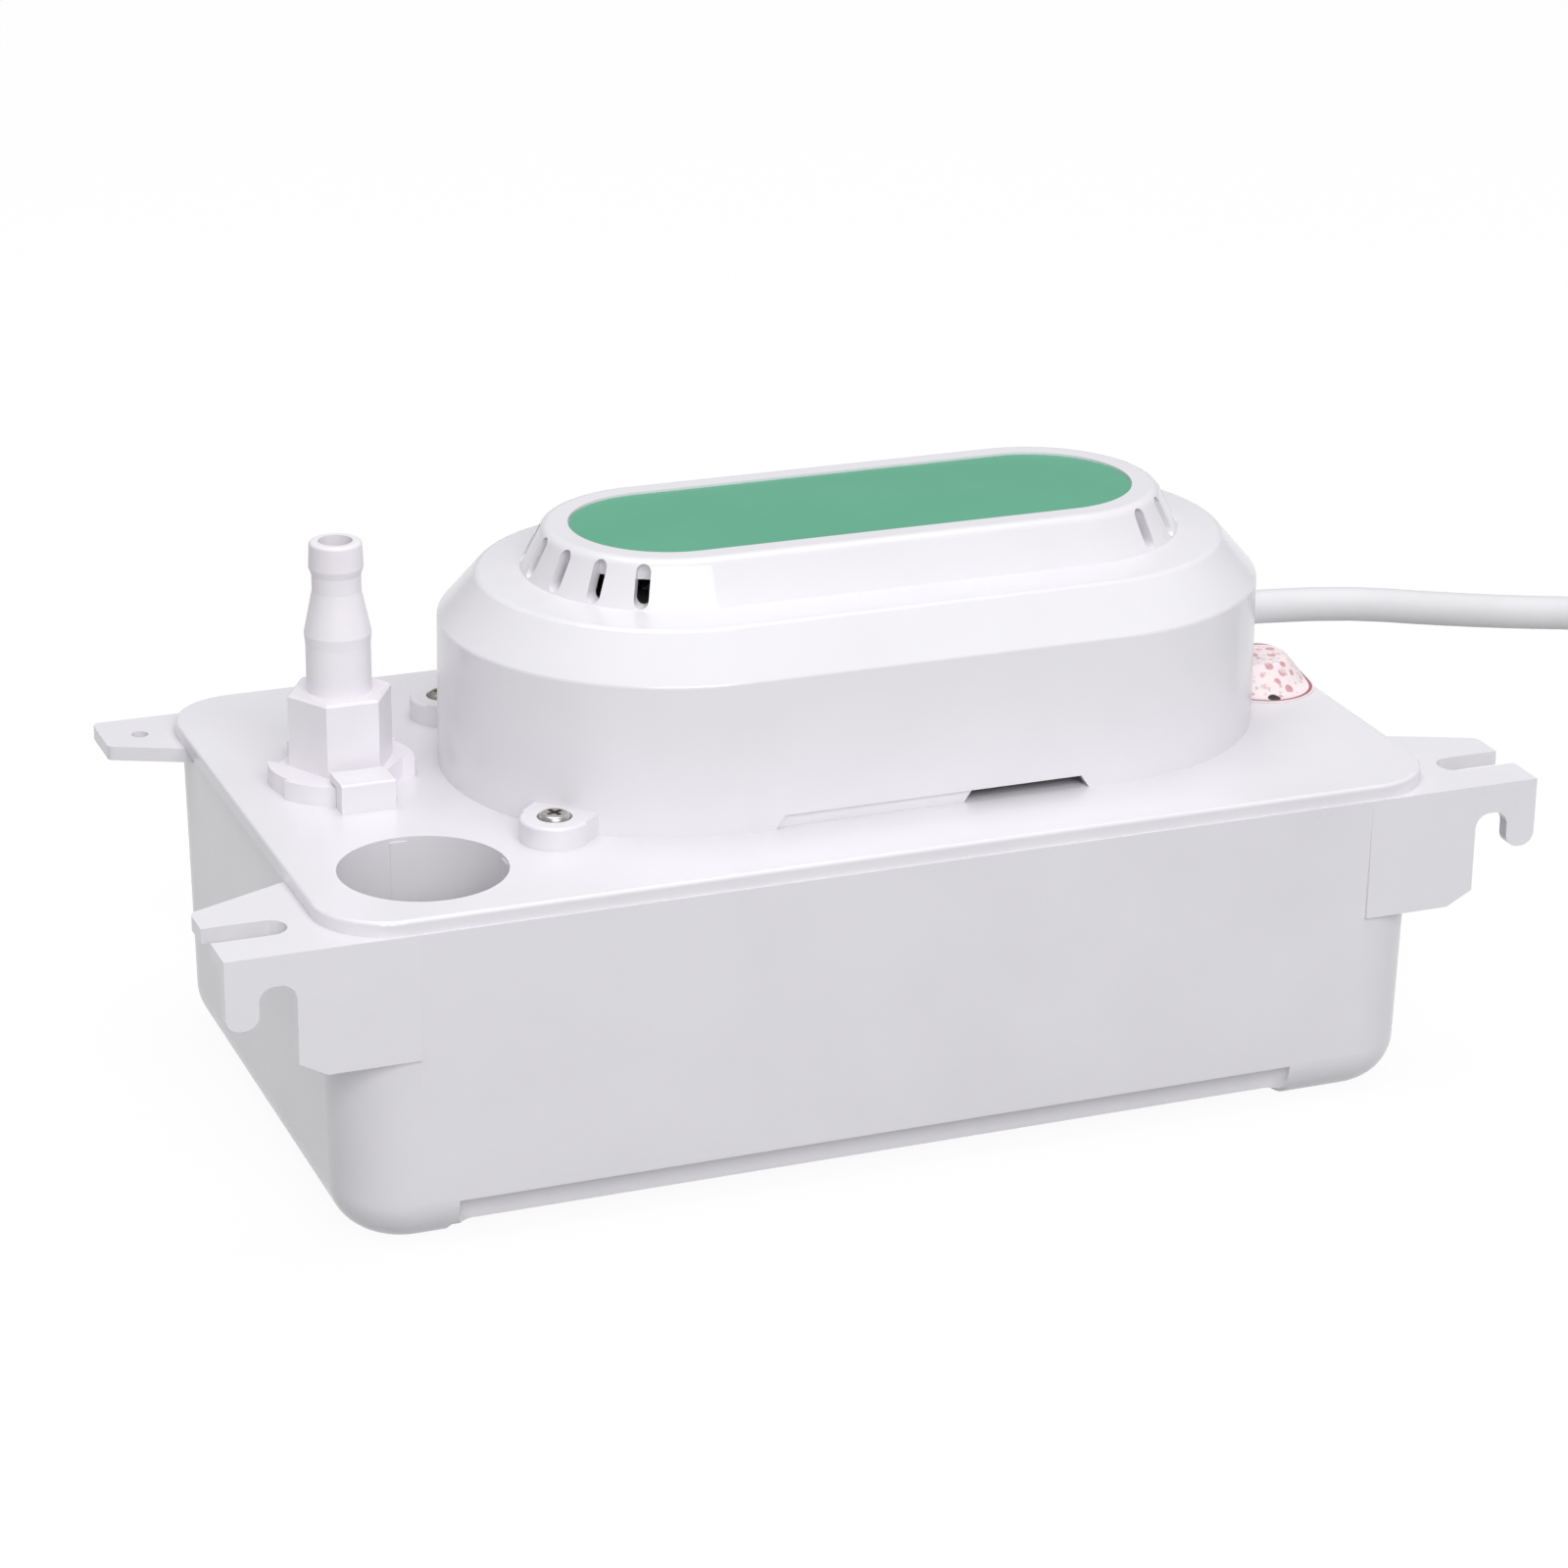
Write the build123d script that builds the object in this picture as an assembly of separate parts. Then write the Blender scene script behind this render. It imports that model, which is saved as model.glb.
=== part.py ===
from build123d import *
from math import asin, atan2, cos, degrees, hypot, pi, radians, sin, tan
import os

# Tank-type condensate pump: a small water tank that carries a lid with a
# vertical-shaft motor under a cover, a centrifugal pump on the shaft, a float
# that works two switches, and a bayonet check valve for the discharge hose.
# Millimetres. X runs along the tank, Y from front to back, Z up. The origin
# is the middle of the footprint, on the surface that the feet stand on.

# ---- clearances -------------------------------------------------------------
RUNNING = 0.05      # radial, a shaft turning or sliding in its bore
LOOSE = 0.3         # between pieces that are dropped or slid together
AIR = 1.0           # between pieces that must never touch

# ---- tank -------------------------------------------------------------------
RIM_Z = 60.0
TANK_LENGTH = 209.0
TANK_DEPTH = 119.0
TANK_CORNER = 14.0
TANK_END_DRAFT = 1.0        # how far each end wall leans in, rim to floor
TANK_SIDE_DRAFT = 1.6
TANK_WALL = 2.2
TANK_EDGE = 9.0             # rounding where the walls meet the underside
TANK_INNER_EDGE = 10.0
UNDERSIDE_Z = 3.0           # the underside between the feet
FOOT_INNER_LEFT = -84.0
FOOT_INNER_RIGHT = 77.0
FOOT_FRONT_END_Y = -14.0
FOOT_REAR_END_Y = 38.0
FOOT_CORNER = 5.0
FOOT_ROUND = 1.6
REBATE_TOP_Z = 8.4          # the finger groove along the front bottom edge
REBATE_DEPTH = 3.6

# ---- wall ears of the tank --------------------------------------------------
EAR_LENGTH = 249.2
EAR_PLATE = 2.7
EAR_SKIRT = 2.5
EAR_SLOT_WIDTH = 6.5
EAR_SLOT_Y = -47.6
EAR_SLOT_END_X = 110.5
EAR_PRONG_REAR_Y = -37.0
EAR_ROOT_REAR_Y = -28.3
EAR_CORNER = 2.0
HOOK_WIDTH = 5.8
HOOK_DROP = 13.0
NOTCH_WIDTH = 6.6
NOTCH_TOP_DROP = 5.6
SKIRT_DROP = 20.5
SKIRT_FOOT_DROP = 23.2
SKIRT_FOOT_RUN = 5.0
SKIRT_END_X = 90.5             # where the tank's corner begins to turn
REAR_EAR_PROUD = 14.5       # beyond the tank's end
REAR_EAR_REACH = TANK_LENGTH / 2 + REAR_EAR_PROUD
REAR_EAR_FRONT_Y = 39.3
REAR_EAR_CHAMFER = 6.5
REAR_EAR_CORNER = 1.5
REAR_HOLE_RADIUS = 1.6
REAR_HOLE_INSET = 7.1       # from the ear's end
REAR_HOLE_X = REAR_EAR_REACH - REAR_HOLE_INSET
REAR_HOLE_Y = 50.2

# ---- lid --------------------------------------------------------------------
LID_OVERHANG = 1.3          # beyond each end of the tank
LID_STEP = 0.5              # the tank's rim in front of the lid and behind it
LID_LENGTH = TANK_LENGTH + 2 * LID_OVERHANG
LID_DEPTH = TANK_DEPTH - 2 * LID_STEP
LID_CORNER = 13.4
LID_PLATE = 2.7
LID_EDGE = 0.7
LID_SKIRT_DROP = 5.0
LID_SKIRT_WALL = 1.8
INLET_X = -83.3
INLET_Y = -37.5
INLET_RADIUS = 15.0
INLET_DEPTH = 16.0
INLET_WALL = 2.0
INLET_RIB_WIDTH = 3.0
INLET_RIB_PROUD = 0.2
INLET_RIB_START = 0.8

# ---- motor cover ------------------------------------------------------------
COVER_X = 12.0
COVER_STRAIGHT = 73.2       # between the centres of the two round ends
COVER_RADIUS = 42.2
COVER_WALL_HEIGHT = 28.0
COVER_WALL_DRAFT = 0.3
SHOULDER_RADIUS = 34.8
SHOULDER_HEIGHT = 36.2
LEDGE_RADIUS = 26.8
LEDGE_HEIGHT = 36.9
CROWN_RADIUS = 22.6
CROWN_HEIGHT = 45.0
CROWN_ROUND = 2.2
COVER_WALL = 2.2
VENT_WIDTH = 2.7
VENT_LENGTH = 7.2
VENT_STEP = 20.0            # degrees between neighbouring vents
VENTS_PER_END = 7
LUG_RADIUS = 6.3
LUG_HEIGHT = 4.2
LUG_REACH = 46.5            # lug centre from the centre of its round end
SLOT_LEFT_X = -19.2
SLOT_RIGHT_X = 41.7
SLOT_OPEN_X = 17.4
SLOT_HEIGHT = 2.4
SLOT_SLOPE = 1.6
SLOT_RECESS = 0.9
LABEL_RADIUS = 18.0
LABEL_RECESS = 0.7
LABEL_SHEET = 0.3
SEAL_RADIUS = 9.8
SEAL_SHEET = 0.25
SEAL_OFFSET_X = 1.0
SEAL_OFFSET_Y = -4.7
SEAL_CLEAR = 0.9              # from the lug's side to where the paper bends down
SEAL_SLOPE_RUN = 4.0
SEAL_BEND = 2.6

# ---- motor ------------------------------------------------------------------
MOTOR_X = -28.0
MOTOR_Y = 0.75
STACK_LENGTH = 64.0
STACK_WIDTH = 46.0
STACK_THICKNESS = 18.0
STACK_CENTRE_HEIGHT = 20.5  # above the lid
STACK_FRONT = 19.0          # rotor axis to the near end of the stack
STACK_ARM = 9.0
ROTOR_RADIUS = 13.0
ROTOR_GAP = 0.4
CORE_WIDTH = 12.0
WINDING_THICKNESS = 7.0
BOBBIN_WALL = 1.2
BOBBIN_LENGTH = 26.0
SHADING_WIRE = 1.6
SHADING_TURN = 130.0
SHAFT_RADIUS = 2.5
SHAFT_TOP_HEIGHT = 41.0
BRACKET_SHEET = 1.6
BRACKET_WIDTH = 14.0
BRACKET_RISE = 6.4
MOTOR_SCREW_Y = 18.5
MOTOR_SCREW_RADIUS = 1.9
BEARING_RADIUS = 4.6
BEARING_LENGTH = 4.4
FAN_RADIUS = 16.5
FAN_BLADES = 7
FAN_HEIGHT = 3.2
FAN_HUB_RADIUS = 5.0

# ---- pump -------------------------------------------------------------------
COLUMN_RADIUS = 7.0
COLUMN_WALL = 1.8
COLUMN_FLANGE_RADIUS = 13.0
COLUMN_FLANGE = 2.0
FLOOR_GAP = 1.2             # under the feet of the suction cover
SUCTION_FOOT = 1.6
SUCTION_PLATE = 1.8
SUCTION_RADIUS = 5.5
CHAMBER_RADIUS = 17.0
CHAMBER_HEIGHT = 9.0
VOLUTE_WALL = 2.0
VOLUTE_SCREW_RING = 21.6
VOLUTE_SCREW_TURN = 70.0    # first screw's bearing, clear of the spigot
IMPELLER_RADIUS = 14.5
IMPELLER_HEIGHT = 6.6
IMPELLER_DISC = 1.4
IMPELLER_VANES = 5
VANE_THICKNESS = 1.3
IMPELLER_HUB_RADIUS = 4.6
SPIGOT_RADIUS = 4.0
SPIGOT_BORE = 2.6
SPIGOT_LENGTH = 12.0
HOSE_WALL = 1.6
HOSE_BEND = 11.0
HOSE_SETBACK = 4.5          # hose end to the volute's wall

# ---- outlet check valve -----------------------------------------------------
OUTLET_X = -84.5
OUTLET_Y = 8.8
OUTLET_TOP_HEIGHT = 45.4
BARB_RADIUS = 4.75
BARB_FLARE_RADIUS = 4.95
BARB_FLARE_HEIGHT = 40.6
NECK_RADIUS = 4.45
NECK_TOP_HEIGHT = 39.2
NECK_HEIGHT = 36.2
BULGE_RADIUS = 6.1
BULGE_HEIGHT = 28.3
STEM_RADIUS = 5.88
STEM_TOP_HEIGHT = 26.2
HEX_TOP_HEIGHT = 17.4
HEX_FLATS = 16.8
HEX_CHAMFER = 0.5
OUTLET_BORE = 3.1
FLANGE_HEIGHT = 3.6
FLANGE_RADIUS = 13.3
FLANGE_LUG_RADIUS = 14.2
FLANGE_LUG_HALF_ANGLE = 62.0
RELEASE_ANGLE = 50.0
PLUG_RADIUS = 7.7           # spigot of the valve base in the lid's socket
PLUG_DROP = 8.2
SEAT_THICKNESS = 1.6
SEAT_BORE = 2.6
CUP_RADIUS = 5.6
POPPET_RADIUS = 3.9
POPPET_HEIGHT = 2.0
POPPET_LIFT = 2.5
VALVE_CHAMBER = 4.6
VALVE_CHAMBER_TOP = 8.0
ORING_SECTION = 0.65
SPRING_WIRE = 0.5
SPRING_TURNS = 4
CLAW_WIDTH = 10.0
CLAW_POST = 3.2
CLAW_LIP = 1.6
CLAW_LIP_REACH = 4.4
SOCKET_WALL = 2.0
SOCKET_FLOOR = 1.8
NIPPLE_DROP = 12.0

# ---- float and switches -----------------------------------------------------
FLOAT_X = 66.0
FLOAT_LENGTH = 42.0
FLOAT_DEPTH = 52.0
FLOAT_HEIGHT = 18.0
FLOAT_BOTTOM_Z = 9.0
FLOAT_EDGE = 4.0
FLOAT_TRAVEL = 9.0
STEM_ROD_RADIUS = 2.0
STEM_COLLAR_RADIUS = 3.8
STEM_COLLAR = 1.6
GUIDE_RADIUS = 4.6
GUIDE_HEIGHT = 3.4
GUIDE_DROP = 4.0
LEVER_ARM = 28.0
LEVER_PLATE = 1.2
LEVER_WIDTH = 14.0
LEVER_HEIGHT = 9.6          # lever middle above the lid
LEVER_PIN_RADIUS = 1.2
LEVER_EYE_RADIUS = 2.4
SWITCH_LENGTH = 19.8
SWITCH_WIDTH = 6.4
SWITCH_BODY_HEIGHT = 10.2
SWITCH_OVERHANG = 10.0      # past the lever's pin
BUTTON_ARM = 6.0
BUTTON_RADIUS = 1.4
BUTTON_TRAVEL = 2.0
ALARM_BUTTON_TRAVEL = 0.8
BRACKET_WALL = 2.0
SWITCH_PIN_RADIUS = 1.1

# ---- wiring -----------------------------------------------------------------
CORD_RADIUS = 3.4
CORD_Y = 20.0
CORD_HEIGHT = 8.0           # cord axis above the lid where it leaves
CLAMP_HALF_WIDTH = 8.5
CLAMP_LENGTH = 4.5
GLAND_COLLAR_RADIUS = 5.8
GLAND_COLLAR = 2.4
GLAND_NOSE = 6.0
GLAND_NECK_RADIUS = 4.7
TERMINAL_LENGTH = 14.0
TERMINAL_DEPTH = 17.0
TERMINAL_HEIGHT = 9.0
TERMINAL_X = 57.0
WIRE_RADIUS = 1.1
COIL_TURN_RADIUS = 39.0
COIL_LANES = 3
COIL_LAYERS = 2
COIL_CENTRE_X = 290.0
COIL_CENTRE_Y = -9.0
TIE_WIDTH = 9.0
TIE_SHEET = 0.8
PLUG_FACE_RADIUS = 18.2
PLUG_BODY_LENGTH = 24.0
PLUG_GRIP_RADIUS = 10.5
PLUG_TAIL_LENGTH = 26.0
PLUG_PIN_RADIUS = 2.4
PLUG_PIN_LENGTH = 19.0
PLUG_PIN_SPACING = 19.0

# ---- screws -----------------------------------------------------------------
COVER_SCREW_RADIUS = 1.5
COVER_SCREW_HEAD = 2.85
COVER_SCREW_HEAD_HEIGHT = 1.9
COVER_SCREW_LENGTH = 12.0
CROSS_WIDTH = 0.9
CROSS_DEPTH = 1.0
SMALL_SCREW_RADIUS = 1.2
SMALL_SCREW_HEAD = 2.3
SMALL_SCREW_HEAD_HEIGHT = 1.3

# ---- heights that follow ----------------------------------------------------
LID_Z = RIM_Z + LID_PLATE
TANK_FLOOR_Z = UNDERSIDE_Z + TANK_WALL
STACK_BOTTOM_Z = LID_Z + STACK_CENTRE_HEIGHT - STACK_THICKNESS / 2
STACK_TOP_Z = STACK_BOTTOM_Z + STACK_THICKNESS
SUCTION_BOTTOM_Z = TANK_FLOOR_Z + FLOOR_GAP + SUCTION_FOOT
CHAMBER_BOTTOM_Z = SUCTION_BOTTOM_Z + SUCTION_PLATE
CHAMBER_TOP_Z = CHAMBER_BOTTOM_Z + CHAMBER_HEIGHT
VOLUTE_TOP_Z = CHAMBER_TOP_Z + VOLUTE_WALL
SPIGOT_Z = CHAMBER_BOTTOM_Z + CHAMBER_HEIGHT / 2

BASE = (Align.CENTER, Align.CENTER, Align.MIN)


# ---- building blocks --------------------------------------------------------
def rod(radius, z_low, z_high, x=0.0, y=0.0):
    """An upright cylinder between two heights."""
    return Pos(x, y, z_low) * Cylinder(radius, z_high - z_low, align=BASE)


def ring(outer, inner, z_low, z_high, x=0.0, y=0.0):
    return rod(outer, z_low, z_high, x, y) - rod(inner, z_low, z_high, x, y)


def block(x_low, x_high, y_low, y_high, z_low, z_high):
    size = (x_high - x_low, y_high - y_low, z_high - z_low)
    corner = (Align.MIN, Align.MIN, Align.MIN)
    return Pos(x_low, y_low, z_low) * Box(*size, align=corner)


def slab(outline, z_low, z_high):
    """A flat outline carried up from one height to another."""
    return extrude(Pos(0, 0, z_low) * outline, amount=z_high - z_low)


def cross_rod(radius, y_low, y_high, x, z):
    """A cylinder lying front to back."""
    return Pos(x, y_high, z) * Rot(90, 0, 0) * Cylinder(radius, y_high - y_low, align=BASE)


def long_rod(radius, x_low, x_high, y, z):
    """A cylinder lying along the tank."""
    return Pos(x_low, y, z) * Rot(0, 90, 0) * Cylinder(radius, x_high - x_low, align=BASE)


def obround(radius):
    """The plan of the motor cover at one distance from its spine."""
    return Pos(COVER_X, MOTOR_Y) * SlotCenterToCenter(COVER_STRAIGHT, 2 * radius)


def edges_at(shape, z, tolerance=0.01):
    low = z - tolerance
    return shape.edges().filter_by_position(Axis.Z, low, z + tolerance)


def pan_head_screw(radius, head_radius, head_height, length):
    """A screw with its head's seat at the origin and its shank pointing down."""
    head = rod(head_radius, 0, head_height)
    head = fillet(head.edges().group_by(Axis.Z)[-1], head_height * 0.55)
    slots = Box(2.2 * CROSS_WIDTH * 1.6, CROSS_WIDTH, 2 * CROSS_DEPTH)
    slots += Box(CROSS_WIDTH, 2.2 * CROSS_WIDTH * 1.6, 2 * CROSS_DEPTH)
    shank = rod(radius, -length, 0)
    shank = chamfer(shank.edges().group_by(Axis.Z)[0], radius * 0.5)
    return head - Pos(0, 0, head_height) * slots + shank


def mirror_x(shape):
    return mirror(shape, about=Plane.YZ)


# ---- tank -------------------------------------------------------------------
def tank_form(inset, z_low, z_high):
    """The drafted tub, made smaller all round by the inset."""
    sections = []
    for z in (z_low, z_high):
        lean = (RIM_Z - z) / RIM_Z
        length = TANK_LENGTH - 2 * (inset + TANK_END_DRAFT * lean)
        depth = TANK_DEPTH - 2 * (inset + TANK_SIDE_DRAFT * lean)
        corner = max(TANK_CORNER - inset - lean, 2.0)
        sections.append(Pos(0, 0, z) * RectangleRounded(length, depth, corner))
    return loft(sections)


def ear_plate_outline():
    """Plan of the right front ear: a plate with a screw slot open to the end."""
    reach = EAR_LENGTH / 2
    front = -TANK_DEPTH / 2
    inside = TANK_LENGTH / 2 - TANK_CORNER
    outline = Polyline(
        (inside, front), (reach, front), (reach, EAR_PRONG_REAR_Y),
        (TANK_LENGTH / 2, EAR_ROOT_REAR_Y), (inside, EAR_ROOT_REAR_Y), close=True)
    plate = make_face(outline)
    plate = fillet(plate.vertices().group_by(Axis.X)[-1], EAR_CORNER)
    slot_end = EAR_SLOT_END_X + EAR_SLOT_WIDTH / 2
    plate -= Pos((slot_end + reach + 5) / 2, EAR_SLOT_Y) * Rectangle(
        reach + 5 - slot_end, EAR_SLOT_WIDTH)
    plate -= Pos(slot_end, EAR_SLOT_Y) * Circle(EAR_SLOT_WIDTH / 2)
    return plate


def ear_skirt():
    """The upright front of the right ear, with its hook and the notch beside it."""
    reach = EAR_LENGTH / 2
    notch_outer = reach - HOOK_WIDTH
    notch_inner = notch_outer - NOTCH_WIDTH
    outline = Polyline(
        (SKIRT_END_X, RIM_Z), (reach, RIM_Z), (reach, RIM_Z - HOOK_DROP),
        (notch_outer, RIM_Z - HOOK_DROP), (notch_outer, RIM_Z - NOTCH_TOP_DROP),
        (notch_inner, RIM_Z - NOTCH_TOP_DROP), (notch_inner, RIM_Z - SKIRT_DROP),
        (notch_inner - SKIRT_FOOT_RUN, RIM_Z - SKIRT_FOOT_DROP),
        (SKIRT_END_X, RIM_Z - SKIRT_FOOT_DROP), close=True)
    face = make_face(outline)
    hook_corners = face.vertices().filter_by_position(
        Axis.Y, RIM_Z - HOOK_DROP - 0.1, RIM_Z - HOOK_DROP + 0.1)
    face = fillet(hook_corners, HOOK_WIDTH / 2 - 0.3)
    notch_corners = face.vertices().filter_by_position(
        Axis.Y, RIM_Z - NOTCH_TOP_DROP - 0.1, RIM_Z - NOTCH_TOP_DROP + 0.1)
    face = fillet(notch_corners, NOTCH_WIDTH / 2 - 0.5)
    upright = Plane(origin=(0, -TANK_DEPTH / 2, 0), x_dir=(1, 0, 0), z_dir=(0, -1, 0))
    return extrude(upright * face, amount=-EAR_SKIRT)


def rear_ear_outline():
    inside = TANK_LENGTH / 2 - TANK_CORNER
    rear = TANK_DEPTH / 2 - 0.6
    outline = Polyline(
        (inside, REAR_EAR_FRONT_Y), (TANK_LENGTH / 2, REAR_EAR_FRONT_Y),
        (REAR_EAR_REACH, REAR_EAR_FRONT_Y + REAR_EAR_CHAMFER),
        (REAR_EAR_REACH, rear), (inside, rear), close=True)
    plate = make_face(outline)
    plate = fillet(plate.vertices().group_by(Axis.X)[-1], REAR_EAR_CORNER)
    return plate - Pos(REAR_HOLE_X, REAR_HOLE_Y) * Circle(REAR_HOLE_RADIUS)


def make_tank():
    body = tank_form(0, 0, RIM_Z)
    body = fillet(edges_at(body, 0), TANK_EDGE)
    ears = slab(ear_plate_outline(), RIM_Z - EAR_PLATE, RIM_Z) + ear_skirt()
    ears += slab(rear_ear_outline(), RIM_Z - EAR_PLATE, RIM_Z)
    body += ears + mirror_x(ears)

    hollow = tank_form(TANK_WALL, TANK_FLOOR_Z, RIM_Z)
    hollow = fillet(edges_at(hollow, TANK_FLOOR_Z), TANK_INNER_EDGE)
    body -= hollow

    # The underside is raised everywhere but at the four corner feet.
    middle = (FOOT_INNER_LEFT + FOOT_INNER_RIGHT) / 2
    between = FOOT_INNER_RIGHT - FOOT_INNER_LEFT
    lengthways = Pos(middle, 0) * RectangleRounded(between, TANK_DEPTH + 20, FOOT_CORNER)
    across_y = (FOOT_FRONT_END_Y + FOOT_REAR_END_Y) / 2
    across = Pos(0, across_y) * RectangleRounded(
        TANK_LENGTH + 20, FOOT_REAR_END_Y - FOOT_FRONT_END_Y, FOOT_CORNER)
    body -= slab(lengthways + across, 0, UNDERSIDE_Z)
    foot_ends = [edge for inner_x in (FOOT_INNER_LEFT, FOOT_INNER_RIGHT)
                 for edge in body.edges().filter_by_position(Axis.X, inner_x - 0.01, inner_x + 0.01)
                 if edge.center().Z < UNDERSIDE_Z - 0.1 and edge.length > FOOT_ROUND]
    body = fillet(foot_ends, FOOT_ROUND)

    rebate_height = REBATE_TOP_Z - UNDERSIDE_Z
    wall_y = -TANK_DEPTH / 2 + TANK_SIDE_DRAFT * (1 - REBATE_TOP_Z / RIM_Z)
    groove = Pos(middle, 0) * RectangleRounded(
        between, 2 * REBATE_DEPTH, REBATE_DEPTH * 0.95)
    groove = Pos(0, wall_y, UNDERSIDE_Z) * extrude(groove, amount=rebate_height)
    return body - groove


# ---- lid --------------------------------------------------------------------
def lug_places():
    """The three cover screws: two at the left end, one at the right end."""
    left = COVER_X - COVER_STRAIGHT / 2
    right = COVER_X + COVER_STRAIGHT / 2
    step = LUG_REACH * cos(radians(45))
    return [(left - step, MOTOR_Y - step), (left - step, MOTOR_Y + step),
            (right + LUG_REACH, MOTOR_Y)]


def make_claw():
    """One of the two hooks that hold the valve's flange down."""
    near = FLANGE_LUG_RADIUS + LOOSE
    far = near + CLAW_POST
    lip_low = LID_Z + FLANGE_HEIGHT + LOOSE
    half = CLAW_WIDTH / 2
    post = block(-half, half, -far, -near, RIM_Z, lip_low + CLAW_LIP)
    lip = block(-half, half, -near, -near + CLAW_LIP_REACH, lip_low, lip_low + CLAW_LIP)
    claw = post + lip
    return fillet(claw.edges().filter_by(Axis.X).group_by(Axis.Z)[-1], 0.5)


def make_lid():
    plate = slab(RectangleRounded(LID_LENGTH, LID_DEPTH, LID_CORNER), RIM_Z, LID_Z)
    plate = fillet(edges_at(plate, LID_Z), LID_EDGE)

    inset = TANK_WALL + LOOSE
    inner_length = TANK_LENGTH - 2 * (inset + TANK_END_DRAFT * LID_SKIRT_DROP / RIM_Z)
    inner_depth = TANK_DEPTH - 2 * (inset + TANK_SIDE_DRAFT * LID_SKIRT_DROP / RIM_Z)
    corner = TANK_CORNER - inset - LOOSE
    skirt = RectangleRounded(inner_length, inner_depth, corner)
    skirt -= RectangleRounded(
        inner_length - 2 * LID_SKIRT_WALL, inner_depth - 2 * LID_SKIRT_WALL,
        corner - LID_SKIRT_WALL)
    lid = plate + slab(skirt, RIM_Z - LID_SKIRT_DROP, RIM_Z)

    # A low rib locates the cover from inside.
    rib_outer = COVER_RADIUS - COVER_WALL - LOOSE
    rib = obround(rib_outer) - obround(rib_outer - 1.6)
    gap_x = COVER_X + COVER_STRAIGHT / 2 + COVER_RADIUS
    rib -= Pos(gap_x - 12, CORD_Y) * Rectangle(34, 2 * (CLAMP_HALF_WIDTH + AIR))
    slot_middle = (SLOT_OPEN_X + SLOT_RIGHT_X) / 2
    rib -= Pos(slot_middle, MOTOR_Y - rib_outer) * Rectangle(
        SLOT_RIGHT_X - SLOT_OPEN_X + 2, 8)
    lid += slab(rib, LID_Z, LID_Z + 2.4)

    # Screw bosses under the cover's lugs.
    for x, y in lug_places():
        lid += rod(LUG_RADIUS - 1.6, RIM_Z - 7.0, RIM_Z, x, y)

    # Inlet collar with four crush ribs for a bung or a drain pipe.
    lid += rod(INLET_RADIUS + INLET_WALL, LID_Z - INLET_DEPTH, RIM_Z, INLET_X, INLET_Y)

    # Outlet socket, the nipple under it and the two claws.
    socket_radius = PLUG_RADIUS + LOOSE
    socket_floor = LID_Z - PLUG_DROP - LOOSE
    lid += rod(socket_radius + SOCKET_WALL, socket_floor - SOCKET_FLOOR, RIM_Z,
               OUTLET_X, OUTLET_Y)
    nipple_low = socket_floor - SOCKET_FLOOR - NIPPLE_DROP
    lid += rod(SPIGOT_RADIUS, nipple_low, socket_floor, OUTLET_X, OUTLET_Y)
    claw = make_claw()
    lid += Pos(OUTLET_X, OUTLET_Y) * claw
    lid += Pos(OUTLET_X, OUTLET_Y) * Rot(0, 0, 180) * claw

    # Posts for the motor, and the guide for the float's stem.
    post_top = STACK_BOTTOM_Z - BRACKET_SHEET
    for side in (-1, 1):
        y = MOTOR_Y + side * MOTOR_SCREW_Y
        lid += rod(4.4, LID_Z, post_top, MOTOR_X, y)
        lid -= rod(MOTOR_SCREW_RADIUS, LID_Z, post_top, MOTOR_X, y)
    lid += rod(GUIDE_RADIUS, RIM_Z - GUIDE_DROP, LID_Z + GUIDE_HEIGHT, FLOAT_X, MOTOR_Y)

    # Pilot bosses for the switch bracket's screws.
    for screw_x in bracket_screw_places():
        lid += rod(3.0, RIM_Z - 4, RIM_Z, screw_x, MOTOR_Y)
        lid -= rod(SMALL_SCREW_RADIUS, RIM_Z - 3, LID_Z, screw_x, MOTOR_Y)

    # Holes.
    lid -= rod(INLET_RADIUS, LID_Z - INLET_DEPTH, LID_Z, INLET_X, INLET_Y)
    lid -= rod(socket_radius, socket_floor, LID_Z, OUTLET_X, OUTLET_Y)
    lid -= rod(SPIGOT_BORE, nipple_low, socket_floor, OUTLET_X, OUTLET_Y)
    lid -= rod(STEM_ROD_RADIUS + RUNNING, RIM_Z - GUIDE_DROP, LID_Z + GUIDE_HEIGHT,
               FLOAT_X, MOTOR_Y)
    lid -= rod(COLUMN_RADIUS - COLUMN_WALL, RIM_Z, LID_Z, MOTOR_X, MOTOR_Y)
    for x, y in lug_places():
        lid -= rod(COVER_SCREW_RADIUS, LID_Z - COVER_SCREW_LENGTH, LID_Z, x, y)
    return lid + inlet_ribs()


def inlet_ribs():
    """Four narrow crush ribs down the inlet, cut from a thin lining."""
    top = LID_Z - INLET_RIB_START
    lining = ring(INLET_RADIUS + 0.5, INLET_RADIUS - INLET_RIB_PROUD,
                  LID_Z - INLET_DEPTH, top)
    reach = 2 * INLET_RADIUS + 2
    cross = Box(reach, INLET_RIB_WIDTH, 4 * INLET_DEPTH)
    cross += Box(INLET_RIB_WIDTH, reach, 4 * INLET_DEPTH)
    return Pos(INLET_X, INLET_Y) * (lining & Pos(0, 0, top) * cross)


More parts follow.
